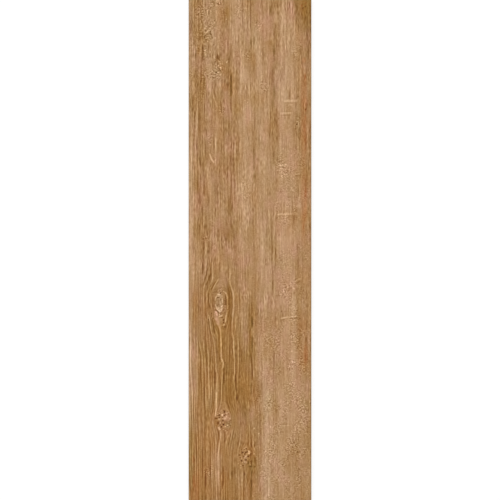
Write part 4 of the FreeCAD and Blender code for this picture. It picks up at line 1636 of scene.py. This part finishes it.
@dataclass(frozen=True)
class BarePorcelain:
    """Finish of the ground sides and the pressed back: unglazed porcelain, tan right through."""

    body: Rgb = (186, 160, 130)
    shade: Rgb = (164, 138, 108)
    grit: Rgb = (112, 88, 64)
    kiln_wash: Rgb = (222, 214, 202)
    glaze_edge: Rgb = (138, 96, 52)
    roughness: float = 0.82
    roughness_sway: float = 0.1
    grit_share: float = 0.55
    glaze_depth: float = 0.35 * MM
    glaze_soft: float = 0.08 * MM
    glaze_share: float = 0.85
    rib_level: float = 0.06 * MM
    wash_grain: Grain = Grain(240.0, 240.0, layer=9.0, detail=3.0, roughness=0.6)
    wash_span: Span = Span((0.38, 0.62), (0.15, 0.8))
    bump_strength: float = 0.5
    bump_height: float = 0.10 * MM

    def material(self, face_level: float) -> bpy.types.Material:
        """Builds the material.

        Args:
            face_level: height of the face above the floor.

        Returns:
            The material.
        """
        made = bpy.data.materials.new("bare_porcelain")
        made.use_nodes = True
        sheet = NodeSheet(made.node_tree)
        shader = made.node_tree.nodes["Principled BSDF"]
        place = sheet.add("ShaderNodeTexCoord").outputs["Object"]
        speckle = FiredSpeckle().place(sheet, place).outputs
        height = sheet.split(place)[2]
        colour = sheet.blend(speckle["Cloud"], linear(self.body), linear(self.shade))
        gritty = sheet.sum("MULTIPLY", speckle["Specks"], self.grit_share)
        colour = sheet.blend(gritty, colour, linear(self.grit))
        colour = sheet.blend(self._wash_share(sheet, place, height), colour, linear(self.kiln_wash))
        brink = face_level - self.glaze_depth
        glaze_span = Span((brink - self.glaze_soft, brink + self.glaze_soft), (0.0, self.glaze_share))
        colour = sheet.blend(sheet.span(height, glaze_span), colour, linear(self.glaze_edge))
        sheet.plug(colour, shader.inputs["Base Color"])
        least_rough = self.roughness - self.roughness_sway / 2
        rough = sheet.sum("MULTIPLY_ADD", speckle["Cloud"], self.roughness_sway, least_rough)
        sheet.plug(rough, shader.inputs["Roughness"])
        pitted = sheet.sum("SUBTRACT", speckle["Specks"], speckle["Pinholes"])
        normal = sheet.bump(pitted, self.bump_strength, self.bump_height)
        sheet.plug(normal, shader.inputs["Normal"])
        return made

    def _wash_share(self, sheet: NodeSheet, place: Socket, height: Socket) -> Socket:
        """Finds where the white kiln wash clings: in patches on the tops of the ribs.

        Args:
            sheet: the material's nodes.
            place: Object coordinates.
            height: height above the floor.

        Returns:
            Share of the wash, from 0 to 1.
        """
        on_ribs = sheet.span(height, Span((0.0, self.rib_level), (1.0, 0.0)))
        clings = sheet.span(sheet.noise(place, self.wash_grain), self.wash_span)
        return sheet.sum("MULTIPLY", on_ribs, clings)


@dataclass(frozen=True)
class Gathering:
    """How a row of points is drawn together, as stretches with a spacing each.

    Each stretch has the share of the way at which it ends and the spacing in it. Only the ratios of
    the spacings count.
    """

    stretches: tuple[tuple[float, float], ...]

    def place(self, share: float) -> float:
        """Moves a point from its even place, from 0 to 1, to its drawn one."""
        ends = [0.0] + [end for end, _ in self.stretches]
        points = [0.0]
        for start, (end, spacing) in zip(ends, self.stretches):
            points.append(points[-1] + (end - start) / spacing)
        return float(np.interp(share * points[-1], points, ends))


@dataclass(frozen=True)
class BakeSheet:
    """Where the sides of the plank lie on the map for baking, in shares of the map's side.

    The face, the back and each long side have an upright strip of their own, and the two ends share one.
    """

    margin: float = 0.01
    face_width: float = 0.64
    back_start: float = 0.67
    back_width: float = 0.25
    left_start: float = 0.935
    right_start: float = 0.952
    ends_start: float = 0.969
    wall_width: float = 0.012
    top_end_start: float = 0.02
    bottom_end_start: float = 0.52
    end_length: float = 0.45
    steepest_face: float = 0.2
    wall_turn: float = 0.5

    def lay_out(self, shares: np.ndarray, facing: np.ndarray) -> np.ndarray:
        """Lays the corners of the mesh out on the map.

        Args:
            shares: place of each corner in the plank's box, from 0 to 1 along each axis.
            facing: normal of the face that each corner belongs to.

        Returns:
            Place of each corner on the map.
        """
        across, along, up = shares.T
        east, north, upward = facing.T
        on_face = self.margin + self.face_width * across
        u = np.where(upward > self.steepest_face, on_face, self.back_start + self.back_width * across)
        v = self.margin + (1 - 2 * self.margin) * along
        walls = np.abs(upward) < self.steepest_face
        for sign, start in ((-1, self.left_start), (1, self.right_start)):
            u = np.where(walls & (sign * east > self.wall_turn), start + self.wall_width * up, u)
        for sign, start in ((1, self.top_end_start), (-1, self.bottom_end_start)):
            chosen = walls & (sign * north > self.wall_turn)
            u = np.where(chosen, self.ends_start + self.wall_width * up, u)
            v = np.where(chosen, start + self.end_length * across, v)
        return np.stack([u, v], 1)


@dataclass
class FiredPlank:
    """The plank: printed face, ground bevel and sides, pressed chamfer and waffle-keyed back."""

    width: float
    length: float
    thickness: float
    face_bevel: float = 0.6 * MM
    back_chamfer: float = 1.2 * MM
    cell_width: float = 20.0 * MM
    cell_length: float = 18.0 * MM
    cell_depth: float = 0.7 * MM
    cell_corner_cut: float = 2.0 * MM
    cell_draft: float = math.radians(30)
    rib_width: float = 3.0 * MM
    cells_across: int = 6
    cells_along: int = 28
    steps_per_cell_across: int = 32
    steps_per_cell_along: int = 17
    columns_gather: Gathering = Gathering(((0.06, 0.66), (0.55, 0.50), (1.0, 0.88)))
    rows_gather: Gathering = Gathering(
        ((0.57, 1.16), (0.66, 0.75), (0.82, 1.16), (0.865, 0.75), (0.893, 1.16), (0.936, 0.75), (1.0, 1.16))
    )
    figure: WoodFigure = WoodFigure()
    bake_sheet: BakeSheet = BakeSheet()
    name: str = "fired_plank"

    def build(self) -> bpy.types.Object:
        """Models and dresses the plank.

        Returns:
            The finished object, at the origin.
        """
        shape = bmesh.new()
        self._lay_face(shape)
        self._press_back(shape)
        bmesh.ops.remove_doubles(shape, verts=shape.verts, dist=TOUCH)
        bmesh.ops.recalc_face_normals(shape, faces=shape.faces)
        self._sort_sides(shape)
        mesh = bpy.data.meshes.new(self.name)
        shape.to_mesh(mesh)
        shape.free()
        mesh.materials.append(PrintedGlaze().material())
        mesh.materials.append(BarePorcelain().material(self.thickness))
        self._map_for_bake(mesh)
        self._print_figure(mesh)
        return stand(self.name, mesh)

    def _lay_face(self, shape: bmesh.types.BMesh) -> None:
        """Makes the fine grid of the face and the bevel round it."""
        face_width = self.width - 2 * self.face_bevel
        face_length = self.length - 2 * self.face_bevel
        made = bmesh.ops.create_grid(
            shape,
            x_segments=self.cells_across * self.steps_per_cell_across,
            y_segments=self.cells_along * self.steps_per_cell_along,
            size=0.5,
        )
        self._gather(made["verts"], 1.0, 1.0)
        bmesh.ops.scale(shape, vec=(face_width, face_length, 1.0), verts=made["verts"])
        bmesh.ops.translate(shape, vec=(0.0, 0.0, self.thickness), verts=made["verts"])
        grow = (self.width / face_width, self.length / face_length, 1.0)
        self._add_ring(shape, [e for e in shape.edges if e.is_boundary], grow, -self.face_bevel)

    def _press_back(self, shape: bmesh.types.BMesh) -> None:
        """Makes the waffle of the back, its rim and chamfer, and the sides up to the bevel."""
        waffle_width = self.cells_across * (self.cell_width + self.rib_width)
        waffle_length = self.cells_along * (self.cell_length + self.rib_width)
        made = bmesh.ops.create_grid(
            shape,
            x_segments=self.cells_across,
            y_segments=self.cells_along,
            size=0.5,
        )
        bmesh.ops.scale(shape, vec=(waffle_width, waffle_length, 1.0), verts=made["verts"])
        cells = dict.fromkeys(face for vert in made["verts"] for face in vert.link_faces)
        self._press_cells(shape, list(cells))
        ring = [e for e in shape.edges if e.is_boundary and max(v.co.z for v in e.verts) < TOUCH]
        last_width, last_length = waffle_width, waffle_length
        for width, length, rise in (
            (self.width - 2 * self.back_chamfer, self.length - 2 * self.back_chamfer, 0.0),
            (self.width, self.length, self.back_chamfer),
            (self.width, self.length, self.thickness - self.face_bevel - self.back_chamfer),
        ):
            ring = self._add_ring(shape, ring, (width / last_width, length / last_length, 1.0), rise)
            last_width, last_length = width, length
        ends = [e for e in ring if abs(e.verts[0].co.y - e.verts[1].co.y) < TOUCH]
        sides = [e for e in ring if e not in ends]
        bmesh.ops.subdivide_edges(shape, edges=ends, cuts=self.steps_per_cell_across - 1)
        bmesh.ops.subdivide_edges(shape, edges=sides, cuts=self.steps_per_cell_along - 1)
        level = self.thickness - self.face_bevel
        top = [vert for vert in shape.verts if abs(vert.co.z - level) < TOUCH and vert.is_boundary]
        walls_top = [vert for vert in top if vert.link_faces[0].calc_center_median().z < level]
        self._gather(walls_top, self.width, self.length)

    def _gather(self, verts: list[bmesh.types.BMVert], width: float, length: float) -> None:
        """Draws evenly spaced points together where the figure is finest.

        Args:
            verts: points of a rectangle round the middle.
            width: the rectangle's width.
            length: the rectangle's length.
        """
        for vert in verts:
            vert.co.x = width * (self.columns_gather.place(vert.co.x / width + 0.5) - 0.5)
            vert.co.y = length * (0.5 - self.rows_gather.place(0.5 - vert.co.y / length))

    def _press_cells(self, shape: bmesh.types.BMesh, cells: list[bmesh.types.BMFace]) -> None:
        """Presses one keying cell into each face of the back's grid.

        Args:
            shape: the plank's mesh.
            cells: faces of the grid, one for each cell and half the rib round it.
        """
        bmesh.ops.inset_individual(shape, faces=cells, thickness=self.rib_width / 2, use_even_offset=True)
        corners = list(dict.fromkeys(vert for cell in cells for vert in cell.verts))
        bmesh.ops.bevel(
            shape,
            geom=corners,
            offset=self.cell_corner_cut,
            offset_type="OFFSET",
            segments=1,
            profile=0.5,
            affect="VERTICES",
            material=-1,
            clamp_overlap=False,
        )
        mouth_sides = 8
        mouths = [face for face in shape.faces if len(face.verts) == mouth_sides]
        bmesh.ops.inset_individual(
            shape,
            faces=mouths,
            thickness=self.cell_depth * math.tan(self.cell_draft),
            depth=self.cell_depth,
            use_even_offset=True,
        )

    def _add_ring(
        self,
        shape: bmesh.types.BMesh,
        edges: list[bmesh.types.BMEdge],
        grow: tuple[float, float, float],
        rise: float,
    ) -> list[bmesh.types.BMEdge]:
        """Draws a closed row of edges out into a strip of faces.

        Args:
            shape: the plank's mesh.
            edges: the row to start from.
            grow: scale of the new row about the plank's middle.
            rise: height of the new row above the old one.

        Returns:
            The new row of edges.
        """
        made = bmesh.ops.extrude_edge_only(shape, edges=edges)["geom"]
        verts = [item for item in made if isinstance(item, bmesh.types.BMVert)]
        bmesh.ops.scale(shape, vec=grow, verts=verts)
        bmesh.ops.translate(shape, vec=(0.0, 0.0, rise), verts=verts)
        return [item for item in made if isinstance(item, bmesh.types.BMEdge) and item.is_boundary]

    def _sort_sides(self, shape: bmesh.types.BMesh) -> None:
        """Gives the face its glaze and smooth shading, and the rest the bare body."""
        level = self.thickness - TOUCH
        for face in shape.faces:
            glazed = all(vert.co.z > level for vert in face.verts)
            face.material_index = Side.GLAZE.value if glazed else Side.BODY.value
            face.smooth = glazed

    def _map_for_bake(self, mesh: bpy.types.Mesh) -> None:
        """Gives the mesh a map for baking in which the face has most of the room."""
        corners = read(mesh.loops, "vertex_index", 1)[:, 0]
        place = read(mesh.vertices, "co", 3)[corners]
        shares = place / (self.width, self.length, self.thickness) + (0.5, 0.5, 0.0)
        corner_counts = read(mesh.polygons, "loop_total", 1)[:, 0]
        facing = np.repeat(read(mesh.polygons, "normal", 3), corner_counts, axis=0)
        layer = mesh.uv_layers.new(name=BAKE_MAP)
        laid_out = self.bake_sheet.lay_out(shares, facing)
        layer.uv.foreach_set("vector", laid_out.astype(np.float32).ravel())

    def _print_figure(self, mesh: bpy.types.Mesh) -> None:
        """Works out the figure at the points of the face, keeps it and embosses the face with it."""
        place = read(mesh.vertices, "co", 3)
        frame = PhotoFrame(self.width, self.length)
        fields = self.figure.fields(frame.columns(place[:, 0]), frame.rows(place[:, 1]))
        pores = self.figure.pores(fields)
        face = place[:, 2] > self.thickness - TOUCH
        flow_across = place[:, 0] - fields.shift * frame.across_step
        hue_span = self.figure.hue_span
        kept = {
            FIGURE: (fields.tone / self.figure.tone_span, fields.gold / hue_span, fields.rust / hue_span),
            FLOW: (flow_across, place[:, 1], fields.combed),
            SURFACE: (fields.fleck, fields.line / WHITE, pores),
        }
        for name, parts in kept.items():
            stored = mesh.attributes.new(name, "FLOAT_VECTOR", "POINT")
            stored.data.foreach_set("vector", np.stack(parts, 1).astype(np.float32).ravel())
        place[face, 2] -= self.figure.depth(fields, pores)[face]
        mesh.vertices.foreach_set("co", place.ravel())
        mesh.update()


@dataclass(frozen=True)
class Softbox:
    """A square softbox that points at the plank."""

    name: str
    place: tuple[float, float, float]
    side: float
    watts: float

    def hang(self) -> None:
        """Hangs the softbox in its place."""
        lamp = bpy.data.lights.new(self.name, "AREA")
        lamp.shape = "SQUARE"
        lamp.size = self.side
        lamp.energy = self.watts
        hung = stand(self.name, lamp)
        hung.location = self.place
        hung.rotation_euler = (-Vector(self.place)).to_track_quat("-Z", "Y").to_euler()


@dataclass
class Studio:
    """Floor, light and camera. The camera looks straight down, as the photograph does."""

    length: float
    face_level: float
    lens: float = 100.0
    sensor: float = 36.0
    farthest_seen: float = 50.0
    floor_side: float = 12.0
    floor_gap: float = 0.2 * MM
    floor_white: float = 0.80
    floor_shaded: float = 0.25
    floor_paper: float = 0.8
    sky: float = 0.5
    key: Softbox = Softbox("key_softbox", (-0.9, 0.6, 2.0), side=1.5, watts=21.0)
    fill: Softbox = Softbox("fill_softbox", (0.9, -0.5, 2.2), side=1.8, watts=13.5)

    def build(self) -> None:
        """Sets up everything round the plank."""
        self._lay_floor()
        self._light_sky()
        self.key.hang()
        self.fill.hang()
        self._set_camera()
        bpy.context.scene.view_settings.view_transform = "Standard"

    def _lay_floor(self) -> None:
        """Lays a white floor that still takes the plank's shadow."""
        shape = bmesh.new()
        bmesh.ops.create_grid(shape, x_segments=1, y_segments=1, size=self.floor_side / 2)
        bmesh.ops.translate(shape, vec=(0.0, 0.0, -self.floor_gap), verts=shape.verts)
        mesh = bpy.data.meshes.new("studio_floor")
        shape.to_mesh(mesh)
        shape.free()
        mesh.materials.append(self._floor_finish())
        floor = stand("studio_floor", mesh)

    def _floor_finish(self) -> bpy.types.Material:
        """Builds the floor's material: white to the eye, plain pale paper to the light."""
        made = bpy.data.materials.new("white_floor")
        made.use_nodes = True
        sheet = NodeSheet(made.node_tree)
        made.node_tree.nodes.remove(made.node_tree.nodes["Principled BSDF"])
        paper = sheet.add("ShaderNodeBsdfDiffuse")
        sheet.plug((*[self.floor_paper] * 3, 1.0), paper.inputs["Color"])
        shaded = sheet.add("ShaderNodeBsdfDiffuse")
        sheet.plug((*[self.floor_shaded] * 3, 1.0), shaded.inputs["Color"])
        glow = sheet.add("ShaderNodeEmission")
        sheet.plug(self.floor_white, glow.inputs["Strength"])
        seen = sheet.add("ShaderNodeAddShader")
        sheet.plug(shaded.outputs[0], seen.inputs[0])
        sheet.plug(glow.outputs[0], seen.inputs[1])
        either = sheet.add("ShaderNodeMixShader")
        sheet.plug(self._seen_rays(sheet), either.inputs[0])
        sheet.plug(paper.outputs[0], either.inputs[1])
        sheet.plug(seen.outputs[0], either.inputs[2])
        sheet.plug(either.outputs[0], made.node_tree.nodes["Material Output"].inputs["Surface"])
        return made

    def _seen_rays(self, sheet: NodeSheet) -> Socket:
        """Tells the rays by which the background is seen: straight, mirrored or through glass."""
        rays = sheet.add("ShaderNodeLightPath").outputs
        mirrored = sheet.sum("MAXIMUM", rays["Is Glossy Ray"], rays["Is Transmission Ray"])
        return sheet.sum("MAXIMUM", rays["Is Camera Ray"], mirrored)

    def _light_sky(self) -> None:
        """Makes an even sky that is white where it is seen."""
        world = bpy.data.worlds.new("studio_sky")
        world.use_nodes = True
        bpy.context.scene.world = world
        sheet = NodeSheet(world.node_tree)
        back = world.node_tree.nodes["Background"]
        sheet.plug((1.0, 1.0, 1.0, 1.0), back.inputs["Color"])
        rays = sheet.add("ShaderNodeLightPath").outputs
        strength = sheet.span(rays["Is Camera Ray"], Span((0.0, 1.0), (self.sky, 1.0)))
        sheet.plug(strength, back.inputs["Strength"])

    def _set_camera(self) -> None:
        """Sets the camera over the plank, so that the face without its end bevels fills the frame."""
        lens = bpy.data.cameras.new("main_camera")
        lens.lens = self.lens
        lens.sensor_width = self.sensor
        lens.clip_end = self.farthest_seen
        camera = stand("main_camera", lens)
        distance = (self.length - 2 * END_TRIM) * self.lens / self.sensor
        camera.location = (0.0, 0.0, self.face_level + distance)
        bpy.context.scene.camera = camera


def main() -> None:
    """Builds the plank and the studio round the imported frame."""
    logging.basicConfig(level=logging.INFO, format="%(message)s")
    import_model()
    low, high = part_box(PLANK_NODE)
    size = high - low
    plank = FiredPlank(size.x, size.y, size.z)
    piece = plank.build()
    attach(piece, ROOT_BODY)
    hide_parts(PLANK_NODE)
    LOG.info("%s: %d faces, on %s, for %s", piece.name, len(piece.data.polygons), ROOT_BODY, PLANK_NODE)
    Studio(size.y, high.z).build()
    LOG.info("studio: floor, sky, softboxes and camera")


if __name__ == "__main__":
    main()
